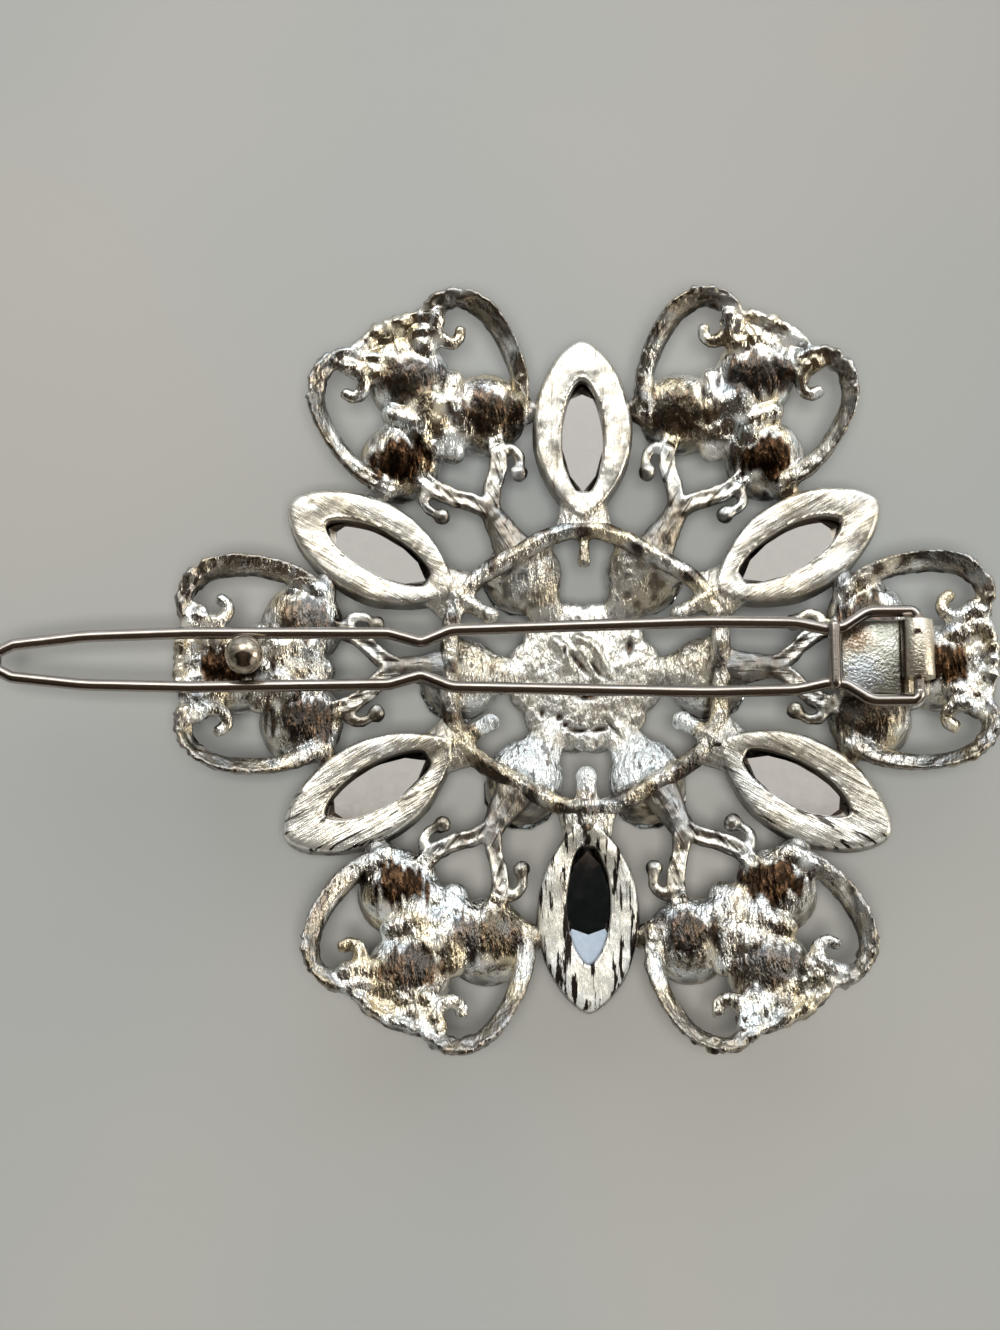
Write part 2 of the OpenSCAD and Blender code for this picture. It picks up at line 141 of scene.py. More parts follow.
# Sections of the loop, the rim and the arm. Columns: across the band towards its outer edge, up
LOOP_SECTION = [(-0.32, -0.85), (0.1, -0.92), (0.66, -0.84), (0.86, -0.35), (0.9, 0.15), (0.84, 0.38),
                (0.66, 0.5), (0.4, 0.42), (0.15, 0.46), (-0.08, 0.38), (-0.28, 0.2), (-0.36, -0.2)]
RIM_SECTION = [(-2.4, -1.9), (-0.5, -1.95), (0.15, -1.6), (0.34, -0.7), (0.45, 0.1), (0.4, 0.36),
               (0.2, 0.36), (-0.05, 0.1), (-0.6, -0.02), (-1.3, -0.08), (-2.2, -0.1), (-2.6, -0.9)]
ARM_SECTION = [(-0.45, -0.5), (0.0, -0.6), (0.45, -0.5), (0.62, 0.0), (0.56, 0.4), (0.36, 0.5),
               (0.08, 0.36), (-0.15, 0.36), (-0.4, 0.5), (-0.56, 0.38), (-0.62, 0.0)]

# Roots and solder beside a loop, in the petal's plane. Columns: start, end, radius at each
LOOP_LUMPS = [((24.9, 2.0, -0.3), (25.5, 3.0, -0.15), 0.9, 0.55),
              ((25.6, 1.6, -0.4), (26.4, 3.2, -0.2), 0.8, 0.65),
              ((20.6, 1.3, -0.45), (21.9, 2.4, -0.5), 1.15, 0.8)]
# Metal between the three cups, with the same columns
CUP_LUMPS = [((PAIR_CUP_U + 0.9, 1.6, -0.7), (OUTER_CUP_U - 1.8, 0, -0.7), 1.35, 1.35),
             ((PAIR_CUP_U + 0.9, -1.6, -0.7), (OUTER_CUP_U - 1.8, 0, -0.7), 1.35, 1.35),
             ((PAIR_CUP_U + 1.2, 0, -0.7), (PAIR_CUP_U - 1.2, 0, -0.8), 1.3, 1.0),
             ((PAIR_CUP_U - 0.3, 1.6, -0.8), (PAIR_CUP_U - 0.3, -1.6, -0.8), 1.2, 1.2)]
# Drips of solder between the domes. Columns: centre, radius
DRIPS = [((PAIR_CUP_U + 1.7, 0.7, -0.05), 0.7), ((PAIR_CUP_U + 1.5, -0.9, 0.0), 0.6),
         ((PAIR_CUP_U + 0.4, 0.2, -0.1), 0.65)]
# Crumbs of metal along the petal's rim. Columns: place in degrees, radius
RIM_CRUMBS = [(-31, 0.42), (-24, 0.5), (-15, 0.4), (-9, 0.52), (-2, 0.42), (5, 0.5), (13, 0.38),
              (19, 0.5), (27, 0.44), (33, 0.5)]
# Ends of the link between an arm and a boat. Columns: R, degrees, Z
LINK = [(18.4, 14.5, 7.05), (18.7, 18.8, 7.15)]

# Pits and slots of the centre plate. Columns: X, Y, half length, half width, turn in degrees, depth
PITS = [(-0.35, 0.75, 0.95, 0.14, -52, 0.4), (0.85, 0.3, 0.65, 0.12, -52, 0.35),
        (-0.55, -3.85, 0.62, 0.13, -3, 0.5), (0.95, -3.8, 0.5, 0.13, 8, 0.5),
        (-1.35, -3.5, 0.2, 0.16, 0, 0.4), (-1.75, -2.95, 0.2, 0.2, 0, 0.4),
        (-2.95, -2.7, 0.13, 0.3, 0, 0.35), (0.15, -1.55, 0.75, 0.2, 0, 0.3),
        (2.0, -3.9, 0.85, 0.09, -48, 0.25), (-1.35, 1.55, 0.1, 0.35, 0, 0.3),
        (3.1, 1.9, 0.2, 0.5, 0, 0.3)]
# Ridges of the centre plate. Columns: X and Y of the two ends, radius
RIDGES = [(-1.3, 1.7, -0.9, 0.2, 0.3), (-0.2, 1.7, 0.75, -0.3, 0.3), (0.75, 1.9, 1.7, -0.1, 0.34),
          (-2.0, 2.3, -1.2, 1.6, 0.36), (-0.5, 2.5, 0.3, 2.2, 0.36)]
# Flap at the plate's lower edge. Columns: half width, height
FLAP = [(0.2, 4.9), (0.9, 5.0), (1.05, 5.3), (0.85, 5.5), (0.3, 5.6)]
# Nubs inside the ring, one at each boat. Columns: radius at the ring, radius before the ball, ball
NUBS = [(0.85, 0.5, 0.66), (0.5, 0.36, 0.45), (0.85, 0.5, 0.66), (0.85, 0.5, 0.66), (1.0, 0.58, 0.72),
        (0.85, 0.5, 0.66)]

# A leg of the clip. Columns: X, half the distance between the two legs, radius of the bend
LEG = [(-LOOP_END_X + 1.1, 1.1, 1.0), (-33.5, 1.65, 8), (-26.5, 1.85, 12), (-13.2, 1.75, 1.6),
       (-11.0, 1.12, 0.9), (-9.0, 1.95, 2.0), (8.0, 2.4, 20), (14.0, 2.3, 5), (16.0, 1.85, 1.5),
       (17.2, 1.95, 1.2), (18.9, 3.05, 1.6), (HINGE_X, 3.05, 0.5)]

# Fineness of the fused meshes, how often they are smoothed, and the factors of one smoothing
VOXEL = 0.17
SMOOTHING = 5
BOAT_VOXEL = 0.14
BOAT_SMOOTHING = 3
MIDDLE_VOXEL = 0.14
SMOOTH_FACTORS = (0.55, -0.5)

# Finish of a petal. Columns: on its arms, on its loops, on the rest. Rows: grain, streak, matte
PETAL_FINISH = [(0.4, 0.7, 1.0), (0.34, 0.2, 0.0), (0.75, 0.35, 0.1)]

# Colours of the metal
SILVER = (0.94, 0.92, 0.88, 1)
WORN_SILVER = (0.82, 0.76, 0.64, 1)
BLUISH = (0.9, 0.97, 1.0, 1)
GOLDEN = (0.88, 0.77, 0.55, 1)
SATIN = (0.96, 0.94, 0.88, 1)
DARK_SATIN = (0.7, 0.65, 0.55, 1)
FROST = (0.9, 0.96, 1.0, 1)
# Browns of the stains and of the painted shade and painted dark reflections
DEEP_BROWN = (0.03, 0.018, 0.011, 1)
BROWN = (0.16, 0.09, 0.048, 1)
# Near-black of the painted dark reflection streaks along the scratches
DARK_STREAK_REFLECTION = (0.02, 0.015, 0.012, 1)
STEEL = (0.56, 0.51, 0.47, 1)
DARK_STEEL = (0.37, 0.33, 0.3, 1)
LEAF_METAL = (0.8, 0.81, 0.74, 1)
DARK_LEAF = (0.5, 0.51, 0.44, 1)
LEAF_FROST = (0.86, 0.94, 1.0, 1)
RUST = (0.2, 0.13, 0.08, 1)
PALE_RUST = (0.6, 0.52, 0.42, 1)
BARREL_METAL = (0.84, 0.74, 0.6, 1)
# Painted shade of the hinge's crease
CREASE_SHADE = (0.09, 0.065, 0.045, 1)
NOTCH = (0.03, 0.02, 0.015, 1)

# Spots on the hinge's leaf and barrel. Columns: X from the hinge, Y, radius
RUST_SPOT = (-4.1, 1.3, 1.5)
FROST_SPOT = (-3.7, -1.1, 1.5)
NOTCH_SPOT = (-0.1, 1.4, 0.3)
CREASE_X = HINGE_X - 1.02

# The table: half its width, and its thickness
TABLE_HALF = 600
TABLE_T = 2

# What the room shows from a dark place overhead outwards. Columns: share of the way, colour
ROOM_STOPS = [(0.0, (0.12, 0.09, 0.065)), (0.2, (0.05, 0.034, 0.022)), (0.3, (0.008, 0.008, 0.007)),
              (0.373, (0.006, 0.008, 0.008)), (0.379, (0.15, 0.1, 0.07)), (0.39, (0.6, 0.57, 0.51)),
              (0.52, (0.66, 0.64, 0.59)), (0.58, (0.25, 0.23, 0.2)), (0.66, (0.98, 0.97, 0.93)),
              (0.73, (0.3, 0.29, 0.26)), (0.81, (0.93, 0.97, 1.0)), (0.9, (0.3, 0.31, 0.32)),
              (1.0, (0.65, 0.69, 0.73))]
# Columns: name, place, target, size, power in watts, colour, seen in reflections
LIGHTS = [("window", (260, 350, 330), (0, 0, 5), (320, 320), 0.55, (0.93, 0.97, 1.0), True),
          ("ceiling_light", (-60, 285, 415), (0, 0, 5), (270, 270), 0.5, (1.0, 0.98, 0.94), True),
          ("fill", (-5, -98, 410), (0, -5, 0), (90, 90), 4.5, (0.985, 1.0, 0.975), False),
          ("lamp", (340, -20, 110), (0, 0, 5), (120, 160), 0.25, (1.0, 0.9, 0.74), True)]


def turn_z(degrees):
    """Matrix that turns a shape round the flower's axis."""
    return Matrix.Rotation(math.radians(degrees), 4, "Z")


def spin(degrees):
    """The same turn as three rows, for arrays of points."""
    return np.array(turn_z(degrees))[:3, :3]


def polar(radius, degrees, z):
    """A point at a distance from the axis and so many degrees round it."""
    a = math.radians(degrees)
    return radius * math.cos(a), radius * math.sin(a), z


def petal_plane():
    """Matrix that puts a shape into the leaning plane of the petal on the X axis."""
    lean = Matrix.Rotation(math.radians(-PETAL_LEAN), 4, "Y")
    return Matrix.Translation((PETAL_R, 0, PETAL_Z)) @ lean @ Matrix.Translation((-PETAL_R, 0, 0))


def inner_plane():
    """Matrix that puts a shape at the back of the inner setting on the X axis."""
    lean = Matrix.Rotation(math.radians(-INNER_LEAN), 4, "Y")
    return Matrix.Translation((INNER_R, 0, INNER_BACK_Z)) @ lean


def moved(solid, matrix):
    """A solid's copy moved by a matrix."""
    verts, faces = solid
    m = np.array(matrix)
    return verts @ m[:3, :3].T + m[:3, 3], faces


def mirrored(solid):
    """A solid's copy on the other side of the petal's middle line."""
    verts, faces = solid
    return verts * (1, -1, 1), [tuple(reversed(f)) for f in faces]


def joined(solids):
    """Several solids as one list of points and faces."""
    verts, faces, first = [], [], 0
    for v, f in solids:
        verts.append(v)
        faces += [tuple(i + first for i in face) for face in f]
        first += len(v)
    return np.concatenate(verts), faces


def circle(sides):
    """Evenly spaced angles round a circle."""
    return np.arange(sides) * 2 * np.pi / sides


def skin(rings, loop=False):
    """A closed solid over rings of points; loop joins the last ring to the first."""
    rings = np.asarray(rings, float)
    n, m = rings.shape[:2]
    faces = []
    for i in range(n if loop else n - 1):
        k = (i + 1) % n
        for j in range(m):
            q = (j + 1) % m
            faces.append((i * m + j, i * m + q, k * m + q, k * m + j))
    if not loop:
        faces.append(tuple(reversed(range(m))))
        faces.append(tuple(range((n - 1) * m, n * m)))
    return rings.reshape(-1, 3), faces


def lathe(profile, sides=40):
    """A solid turned round Z from rows of (radius, height) that start and end near the axis."""
    return skin([[(r * math.cos(a), r * math.sin(a), z) for a in circle(sides)] for r, z in profile])


def smooth_line(points, per=8):
    """A Catmull-Rom curve through the points."""
    p = np.asarray(points, float)
    p = np.vstack([2 * p[0] - p[1], p, 2 * p[-1] - p[-2]])
    out = []
    for i in range(1, len(p) - 2):
        for t in np.arange(per) / per:
            a, b, c, d = p[i - 1], p[i], p[i + 1], p[i + 2]
            out.append(0.5 * (2 * b + (c - a) * t + (2 * a - 5 * b + 4 * c - d) * t * t
                              + (3 * b - a - 3 * c + d) * t ** 3))
    out.append(p[-2])
    return np.array(out)


def tube(points, radii, sides=12):
    """A round rod with round ends along a 3-D line; radii is one number or one for each point."""
    p = np.asarray(points, float)
    r = np.broadcast_to(np.asarray(radii, float), (len(p),))
    ahead = np.gradient(p, axis=0)
    ahead /= np.linalg.norm(ahead, axis=1)[:, None]
    ends = [math.radians(k) for k in (80, 60, 35, 15)]
    rows = [(p[0] - ahead[0] * r[0] * math.sin(a), r[0] * math.cos(a), ahead[0]) for a in ends]
    rows += zip(p, r, ahead)
    rows += [(p[-1] + ahead[-1] * r[-1] * math.sin(a), r[-1] * math.cos(a), ahead[-1])
             for a in reversed(ends)]
    side = np.cross(ahead[0], (0, 0, 1))
    if np.linalg.norm(side) < 0.1:
        side = np.cross(ahead[0], (0, 1, 0))
    rings = []
    for centre, size, axis in rows:
        side = side - axis * (side @ axis)
        side /= np.linalg.norm(side)
        up = np.cross(axis, side)
        rings.append([centre + size * (math.cos(a) * side + math.sin(a) * up) for a in circle(sides)])
    return skin(rings)


def flat_rod(line, z, radius):
    """A round rod along a smooth line that lies flat at height z."""
    p = smooth_line(line)
    return tube(np.column_stack([p, np.full(len(p), z)]), radius)


def ball(centre, radius):
    """A round lump."""
    rows = [(radius * math.cos(a), radius * math.sin(a))
            for a in np.radians(np.linspace(-85, 85, 13))]
    return moved(lathe(rows, 20), Matrix.Translation(centre))


def lump(a, b, radius_a, radius_b):
    """A rod that swells or narrows from a to b."""
    t = np.linspace(0, 1, 7)[:, None]
    line = np.asarray(a, float) * (1 - t) + np.asarray(b, float) * t
    return tube(line, radius_a + (radius_b - radius_a) * t[:, 0], 16)


def ribbon(line, section, slope=0, per=8):
    """A band along a flat smooth line; it tilts up about its inner edge, most at half way."""
    p = smooth_line(line, per)
    ahead = np.gradient(p, axis=0)
    ahead /= np.linalg.norm(ahead, axis=1)[:, None]
    inner = min(row[0] for row in section)
    rings = []
    for i, (point, way) in enumerate(zip(p, ahead)):
        rise = slope * math.sin(math.pi * i / (len(p) - 1)) ** 2
        rings.append([(point[0] - way[1] * across, point[1] + way[0] * across,
                       up + rise * (across - inner)) for across, up in section])
    return skin(rings)


def flare(x0, x1, w0, w1, z0, z1, thick):
    """A flat arm along X that widens in a curve from w0 to w1."""
    rings = []
    for t in np.linspace(0, 1, 12):
        half = (w0 + (w1 - w0) * t ** 1.8) / 2
        x, z = x0 + (x1 - x0) * t, z0 + (z1 - z0) * t
        rings.append([(x, half * math.cos(a), z + thick / 2 * math.sin(a)) for a in circle(20)])
    return skin(rings)


def vesica(x, length, width):
    """Half width at x of an outline of two arcs with pointed ends."""
    h = width / 2
    arc_r = (length * length / 4 + h * h) / (2 * h)
    return np.sqrt(np.maximum(arc_r ** 2 - x ** 2, 0)) - (arc_r - h)


def boat_outline(length, width, angles):
    """Points of a boat-shaped outline, a point for each angle."""
    x = length / 2 * np.cos(angles)
    y = vesica(x, length, width) * np.sign(np.sin(angles))
    return np.column_stack([x, y])


def oval_outline(length, width, angles, shift=0.0, point=1.25):
    """Points of a long oval outline; its ends are round at point 1 and sharp at 2."""
    s = np.sin(angles)
    return np.column_stack([length / 2 * np.cos(angles) + shift,
                            width / 2 * np.sign(s) * np.abs(s) ** point])


def on_catch(profile):
    """A solid turned round the catch's axis."""
    return moved(lathe(profile, 32), Matrix.Translation((-CATCH_X, 0, 0)))


def hull_mesh(verts):
    """The convex solid round some points, with flat neighbours joined into facets."""
    shape = bmesh.new()
    for v in verts:
        shape.verts.new(v)
    result = bmesh.ops.convex_hull(shape, input=shape.verts)
    loose = [e for e in result["geom_interior"] if isinstance(e, bmesh.types.BMVert)]
    bmesh.ops.delete(shape, geom=loose, context="VERTS")
    bmesh.ops.dissolve_limit(shape, angle_limit=math.radians(1), verts=shape.verts, edges=shape.edges)
    mesh = bpy.data.meshes.new("hull")
    shape.to_mesh(mesh)
    shape.free()
    return mesh


def lattice_noise(points, seed):
    """Smooth noise from -1 to 1 at each point; its grains are one unit wide."""
    base = np.floor(points).astype(np.int64)
    f = points - base
    f = f * f * (3 - 2 * f)
    total = np.zeros(len(points))
    for corner in np.ndindex(2, 2, 2):
        c = base + corner
        h = (c[:, 0] * 73856093) ^ (c[:, 1] * 19349663) ^ (c[:, 2] * 83492791) ^ (seed * 2654435)
        h = (h ^ (h >> 13)) * 1274126177 & 0xFFFFFFFF
        h = (h ^ (h >> 16)) & 0xFFFF
        weight = np.prod(np.where(corner, f, 1 - f), axis=1)
        total += weight * (h / 32767.5 - 1)
    return total


def mesh_of(name, verts, faces):
    """A new mesh."""
    mesh = bpy.data.meshes.new(name)
    mesh.from_pydata(verts, [], faces)
    return mesh


def added(name, data):
    """A new object in the scene."""
    made = bpy.data.objects.new(name, data)
    bpy.context.scene.collection.objects.link(made)
    return made


def fused(name, solids, voxel=VOXEL, smoothing=SMOOTHING):
    """One mesh in millimetres that joins overlapping solids and rounds their joints."""
    verts, faces = joined(solids)
    mesh = mesh_of(name, verts.tolist(), faces)
    made = added(name, mesh)
    remesh = made.modifiers.new("fuse", "REMESH")
    remesh.mode = "VOXEL"
    remesh.voxel_size = voxel
    for _ in range(smoothing):
        for factor in SMOOTH_FACTORS:
            smooth = made.modifiers.new("round", "SMOOTH")
            smooth.factor = factor
            smooth.iterations = 2
    result = bpy.data.meshes.new_from_object(made.evaluated_get(bpy.context.evaluated_depsgraph_get()))
    bpy.data.objects.remove(made)
    bpy.data.meshes.remove(mesh)
    return result


def points_of(mesh):
    """A mesh's points and normals as arrays."""
    co, no = np.empty((2, len(mesh.vertices) * 3))
    mesh.vertices.foreach_get("co", co)
    mesh.vertex_normals.foreach_get("vector", no)
    return co.reshape(-1, 3), no.reshape(-1, 3)


def piece(name, mesh, co, material, body, replaced, values=None):
    """A piece of the object from a mesh and its points in millimetres; values lie on the points."""
    mesh.vertices.foreach_set("co", (co * MM).astype(np.float32).ravel())
    mesh.polygons.foreach_set("use_smooth", np.ones(len(mesh.polygons), bool))
    for key, data in (values or {}).items():
        kind, field = ("FLOAT", "value") if data.ndim == 1 else ("FLOAT_VECTOR", "vector")
        layer = mesh.attributes.new(key, kind, "POINT")
        layer.data.foreach_set(field, data.astype(np.float32).ravel())
    mesh.update()
    mesh.name = name
    made = added(name, mesh)
    mesh.materials.clear()
    mesh.materials.append(material)
    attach(made, body)
    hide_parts(replaced)
    return made


def direct(name, solids, material, body, replaced):
    """A piece made straight from solids, with no fusing."""
    verts, faces = joined(solids)
    return piece(name, mesh_of(name, verts.tolist(), faces), verts, material, body, replaced)


# Materials

def shader(name):
    """A new material, its main shader and the place on the object."""
    material = bpy.data.materials.new(name)
    material.use_nodes = True
    tree = material.node_tree
    place = node(tree, "ShaderNodeTexCoord").outputs["Object"]
    return material, tree.nodes["Principled BSDF"], place


def feed(made, inputs):
    """Links sockets to a node's inputs; a plain value is set on the input itself."""
    for key, value in inputs.items():
        if isinstance(value, bpy.types.NodeSocket):
            value.id_data.links.new(value, made.inputs[key])
        else:
            made.inputs[key].default_value = value


def node(tree, kind, inputs=None, **settings):
    """A shader node with its settings, and its inputs given as values or sockets."""
    made = tree.nodes.new(kind)
    for key, value in settings.items():
        setattr(made, key, value)
    feed(made, inputs or {})
    return made


def maths(operation, a, b=0.0, c=0.0):
    """A Math node's result, in the node tree of its first input, which is a socket."""
    return node(a.id_data, "ShaderNodeMath", {0: a, 1: b, 2: c}, operation=operation).outputs[0]


def scaled(value, factor, base=0.0):
    """A value times a factor, plus a base."""
    return maths("MULTIPLY_ADD", value, factor, base)


def noise(vector, scale, detail=2.0, roughness=0.5):
    """A noise texture's value from 0 to 1."""
    inputs = {"Vector": vector, "Scale": scale, "Detail": detail, "Roughness": roughness}
    return node(vector.id_data, "ShaderNodeTexNoise", inputs).outputs["Fac"]


def mapped(vector, scale):
    """A vector stretched along its axes."""
    return node(vector.id_data, "ShaderNodeMapping", {"Vector": vector, "Scale": scale}).outputs[0]


def mixed(factor, a, b):
    """A mix of two colours."""
    return node(factor.id_data, "ShaderNodeMix", {0: factor, 6: a, 7: b}, data_type="RGBA").outputs[2]


def between(value, low, high):
    """0 at low, 1 at high, a ramp between them and level beyond."""
    ends = {"Value": value, "From Min": low, "From Max": high}
    return node(value.id_data, "ShaderNodeMapRange", ends).outputs[0]


def bump(height, strength, distance):
    """The normal of a surface that a height from 0 to 1 raises by a distance in millimetres."""
    inputs = {"Strength": strength, "Distance": distance * MM, "Height": height}
    return node(height.id_data, "ShaderNodeBump", inputs).outputs["Normal"]


def attribute(tree, name, output="Fac"):
    """A value kept on the mesh's points."""
    return node(tree, "ShaderNodeAttribute", attribute_name=name).outputs[output]


def plating():
    """Bright plated casting, worn warm and bluish in places.

    The mesh's points hold the share of grains, scratches with painted dark reflection streaks (streak),
    brown where stained or where shade and dark reflections are painted, satin (matte), bluish tone (frost)
    and dull white (chalk), and places along the scratches (along).
    """
    material, main, place = shader("plated_casting")
    tree = material.node_tree
    shares = ("grain", "streak", "stain_and_shade", "matte", "frost", "chalk")
    grain, streak, stain_and_shade, matte, frost, chalk = (attribute(tree, name) for name in shares)
    lengthwise = mapped(attribute(tree, "along", "Vector"), (300, 2300, 900))
    run = mapped(place, (1.0, 0.33, 0.8))
    fine = noise(run, 6500, 2.0, 0.6)
    coarse = noise(run, 2800)
    lines = noise(lengthwise, 1.0, 4.0, 0.6)
    worn = noise(place, 800, 3.0, 0.6)
    clouds = noise(place, 330)
    grains = scaled(fine, 0.35, scaled(coarse, 0.75))
    height = scaled(lines, streak, scaled(grains, grain))
    tone = mixed(between(worn, 0.42, 0.6), SILVER, WORN_SILVER)
    tone = mixed(between(clouds, 0.56, 0.68), tone, BLUISH)
    tone = mixed(between(clouds, 0.5, 0.4), tone, GOLDEN)
    tone = mixed(matte, tone, mixed(between(lines, 0.4, 0.6), SATIN, DARK_SATIN))
    tone = mixed(frost, tone, FROST)
    specks = scaled(between(noise(run, 2600, 2.0, 0.6), 0.56, 0.64), grain)
    # Brown where stained or specked, and where shade and dark reflections are painted
    dirt_and_shade = maths("MAXIMUM", stain_and_shade, scaled(specks, 0.55))
    tone = mixed(dirt_and_shade, tone, mixed(between(coarse, 0.48, 0.64), DEEP_BROWN, BROWN))
    # Painted dark reflection streaks along the scratches, stronger where the streak share is high
    deep = between(scaled(streak, 0.19, lines), 0.642, 0.672)
    streak_reflection_share = maths("MINIMUM", scaled(streak, 2.2), 1.0)
    tone = mixed(scaled(deep, streak_reflection_share), tone, DARK_STREAK_REFLECTION)
    rough = scaled(stain_and_shade, 0.12, scaled(worn, 0.12, 0.06))
    feed(main, {"Base Color": tone, "Normal": bump(height, 1.0, 0.27),
                "Roughness": scaled(matte, 0.22, rough), "Metallic": scaled(chalk, -1.0, 1.0)})
    return material


def drawn_wire():
    """Drawn spring wire with faint lines along it."""
    material, main, place = shader("drawn_wire")
    lines = noise(mapped(place, (260, 6000, 6000)), 1.0)
    marks = noise(place, 900, 3.0, 0.6)
    feed(main, {"Base Color": mixed(marks, STEEL, DARK_STEEL), "Metallic": 1.0,
                "Normal": bump(lines, 0.6, 0.012), "Roughness": scaled(marks, 0.12, 0.14)})
    return material


def spot(place, at, z, grains):
    """Share of a round patch with a ragged edge; at is a row of X from the hinge, Y and radius."""
    x, y, radius = at
    centre = Vector((HINGE_X + x, y, z)) * MM
    away = node(place.id_data, "ShaderNodeVectorMath", {0: place, 1: centre}, operation="DISTANCE")
    ragged = scaled(grains, -2 * radius * MM, away.outputs["Value"])
    return between(ragged, 0.0, -0.47 * radius * MM)


def rolled_strip():
    """The hinge's rolled strip: mottled, with a rusty and a frosty spot, painted shade in the crease and a
    notch.
    """
    material, main, place = shader("rolled_strip")
    clouds = noise(place, 900, 4.0, 0.6)
    grains = noise(place, 5000, 2.0, 0.6)
    x = node(material.node_tree, "ShaderNodeSeparateXYZ", {"Vector": place}).outputs["X"]
    top = WIRE_Z - BARREL_R + LEAF_T
    colour = mixed(between(clouds, 0.4, 0.62), LEAF_METAL, DARK_LEAF)
    rust = mixed(between(grains, 0.45, 0.6), RUST, PALE_RUST)
    colour = mixed(spot(place, RUST_SPOT, top, grains), colour, rust)
    colour = mixed(spot(place, FROST_SPOT, top, grains), colour, LEAF_FROST)
    # Painted shade along the crease where the leaf runs into the barrel
    crease = maths("ABSOLUTE", scaled(x, 1.0, -CREASE_X * MM))
    colour = mixed(between(crease, 0.22 * MM, 0.1 * MM), colour, CREASE_SHADE)
    barrel = between(x, (HINGE_X - 0.95) * MM, (HINGE_X - 0.8) * MM)
    colour = mixed(scaled(barrel, 0.7), colour, BARREL_METAL)
    colour = mixed(spot(place, NOTCH_SPOT, WIRE_Z + BARREL_R, grains), colour, NOTCH)
    feed(main, {"Base Color": colour, "Normal": bump(grains, 0.9, 0.06), "Metallic": 1.0,
                "Roughness": scaled(clouds, 0.3, 0.16)})
    return material


def hazed(name, haze, light, dark, rough, metallic=0.0):
    """A smooth material whose colour and roughness follow a faint haze.

    haze is the noise's scale, detail and roughness; rough is what full haze adds to the surface's
    roughness, and its least roughness.
    """
    material, main, place = shader(name)
    share = noise(place, *haze)
    feed(main, {"Base Color": mixed(share, (*light, 1), (*dark, 1)), "Metallic": metallic,
                "Roughness": scaled(share, *rough)})
    return material


def crystal():
    """Clear cut glass."""
    material = hazed("cut_crystal", (1200, 2.0, 0.5), (0.93, 0.96, 0.98), (0.86, 0.9, 0.93), (0.05, 0.0))
    main = material.node_tree.nodes["Principled BSDF"]
    main.inputs["Transmission Weight"].default_value = 1.0
    main.inputs["IOR"].default_value = 1.54
    return material


METAL = plating()
WIRE = drawn_wire()
STRIP = rolled_strip()
CRYSTAL = crystal()
# The catch's polished ball, the silvered backs of the boat-cut stones, and one facet left bare
BALL = hazed("polished_ball", (1500, 3.0, 0.6), (0.64, 0.56, 0.46), (0.4, 0.34, 0.27), (0.15, 0.12), 1.0)
SILVERED = hazed("silvered_crystal", (1500, 3.0, 0.6), (0.86, 0.85, 0.86), (0.76, 0.76, 0.79),
                 (0.08, 0.0), 1.0)
BARE = hazed("bare_crystal", (1800, 3.0, 0.6), (0.13, 0.16, 0.2), (0.2, 0.22, 0.25), (0.3, 0.05))


# Solids of the casting

def cup(crown=CUP_CROWN):
    """A round setting on its own axis, domed at the back and open to the front."""
    rim_r, front = CUP_RIM_R, CUP_FRONT
    stone_r = rim_r - 0.42
    return lathe([(0.05, front + 2.2), (stone_r - 0.2, front + 1.0), (stone_r, front + 0.9),
                  (stone_r, front), (rim_r - 0.08, front), (rim_r, front + 0.15),
                  (rim_r + 0.03, -2.0), (rim_r - 0.02, -1.2), (rim_r - 0.16, -0.7),
                  (rim_r - 0.45, -0.25), (rim_r - 0.95, 0.12), (rim_r - 1.6, crown - 0.14),
                  (0.5, crown - 0.02), (0.05, crown)])


def petal_solids():
    """The solids of the petal on the X axis, in the flower's frame."""
    plane = petal_plane()
    hook = smooth_line(HOOK)
    hook_line = np.column_stack([hook, np.linspace(0.1, -0.1, len(hook))])
    upper = [moved(cup(), Matrix.Translation((PAIR_CUP_U, PAIR_CUP_V, 0))),
             ribbon(LOOP, LOOP_SECTION, 0.85),
             tube(hook_line, np.linspace(0.68, 0.38, len(hook))),
             ball((HOOK[-1][0], HOOK[-1][1], -0.1), 0.46)]
    upper += [lump(*row) for row in LOOP_LUMPS]
    arc = [(RIM_U + RIM_R * math.cos(a), RIM_R * math.sin(a))
           for a in np.radians(np.linspace(34, -34, 9))]
    middle = [moved(cup(), Matrix.Translation((OUTER_CUP_U, 0, 0))),
              moved(cup(0.38), Matrix.Translation((OUTER_CUP_U + 0.75, 0, 0))),
              ribbon(arc, RIM_SECTION, 0, 4)]
    middle += [lump(*row) for row in CUP_LUMPS]
    middle += [ball(*row) for row in DRIPS]
    for degrees, radius in RIM_CRUMBS:
        x, y, z = polar(RIM_R + 0.1, degrees, 0.1)
        middle.append(ball((RIM_U + x, y, z), radius))
    leaning = [moved(s, plane) for s in upper + [mirrored(s) for s in upper] + middle]
    arm = [(across, ROD_Z + up) for across, up in ARM_SECTION]
    curl_radii = np.linspace(0.48, 0.32, len(smooth_line(CURL)))
    flat = [ribbon(ARM, arm), flat_rod(CURL, ROD_Z, curl_radii),
            ball((CURL[-1][0] - 0.1, CURL[-1][1] - 0.05, ROD_Z), CURL_BALL - 0.02),
            lump(polar(*LINK[0]), polar(*LINK[1]), 0.95, 0.85)]
    flat += [mirrored(s) for s in flat]
    flat.append(flare(ARM[0][0] + 0.7, RING_SIDE_R - 0.1, 1.5, 3.3, ROD_Z - 0.15, ROD_Z - 0.3, 1.25))
    flat.append(lump((RING_SIDE_R + 0.2, 0, ROD_Z - 0.6), (RING_SIDE_R + 1.9, 0, ROD_Z - 0.3), 1.1, 0.7))
    return leaning + flat


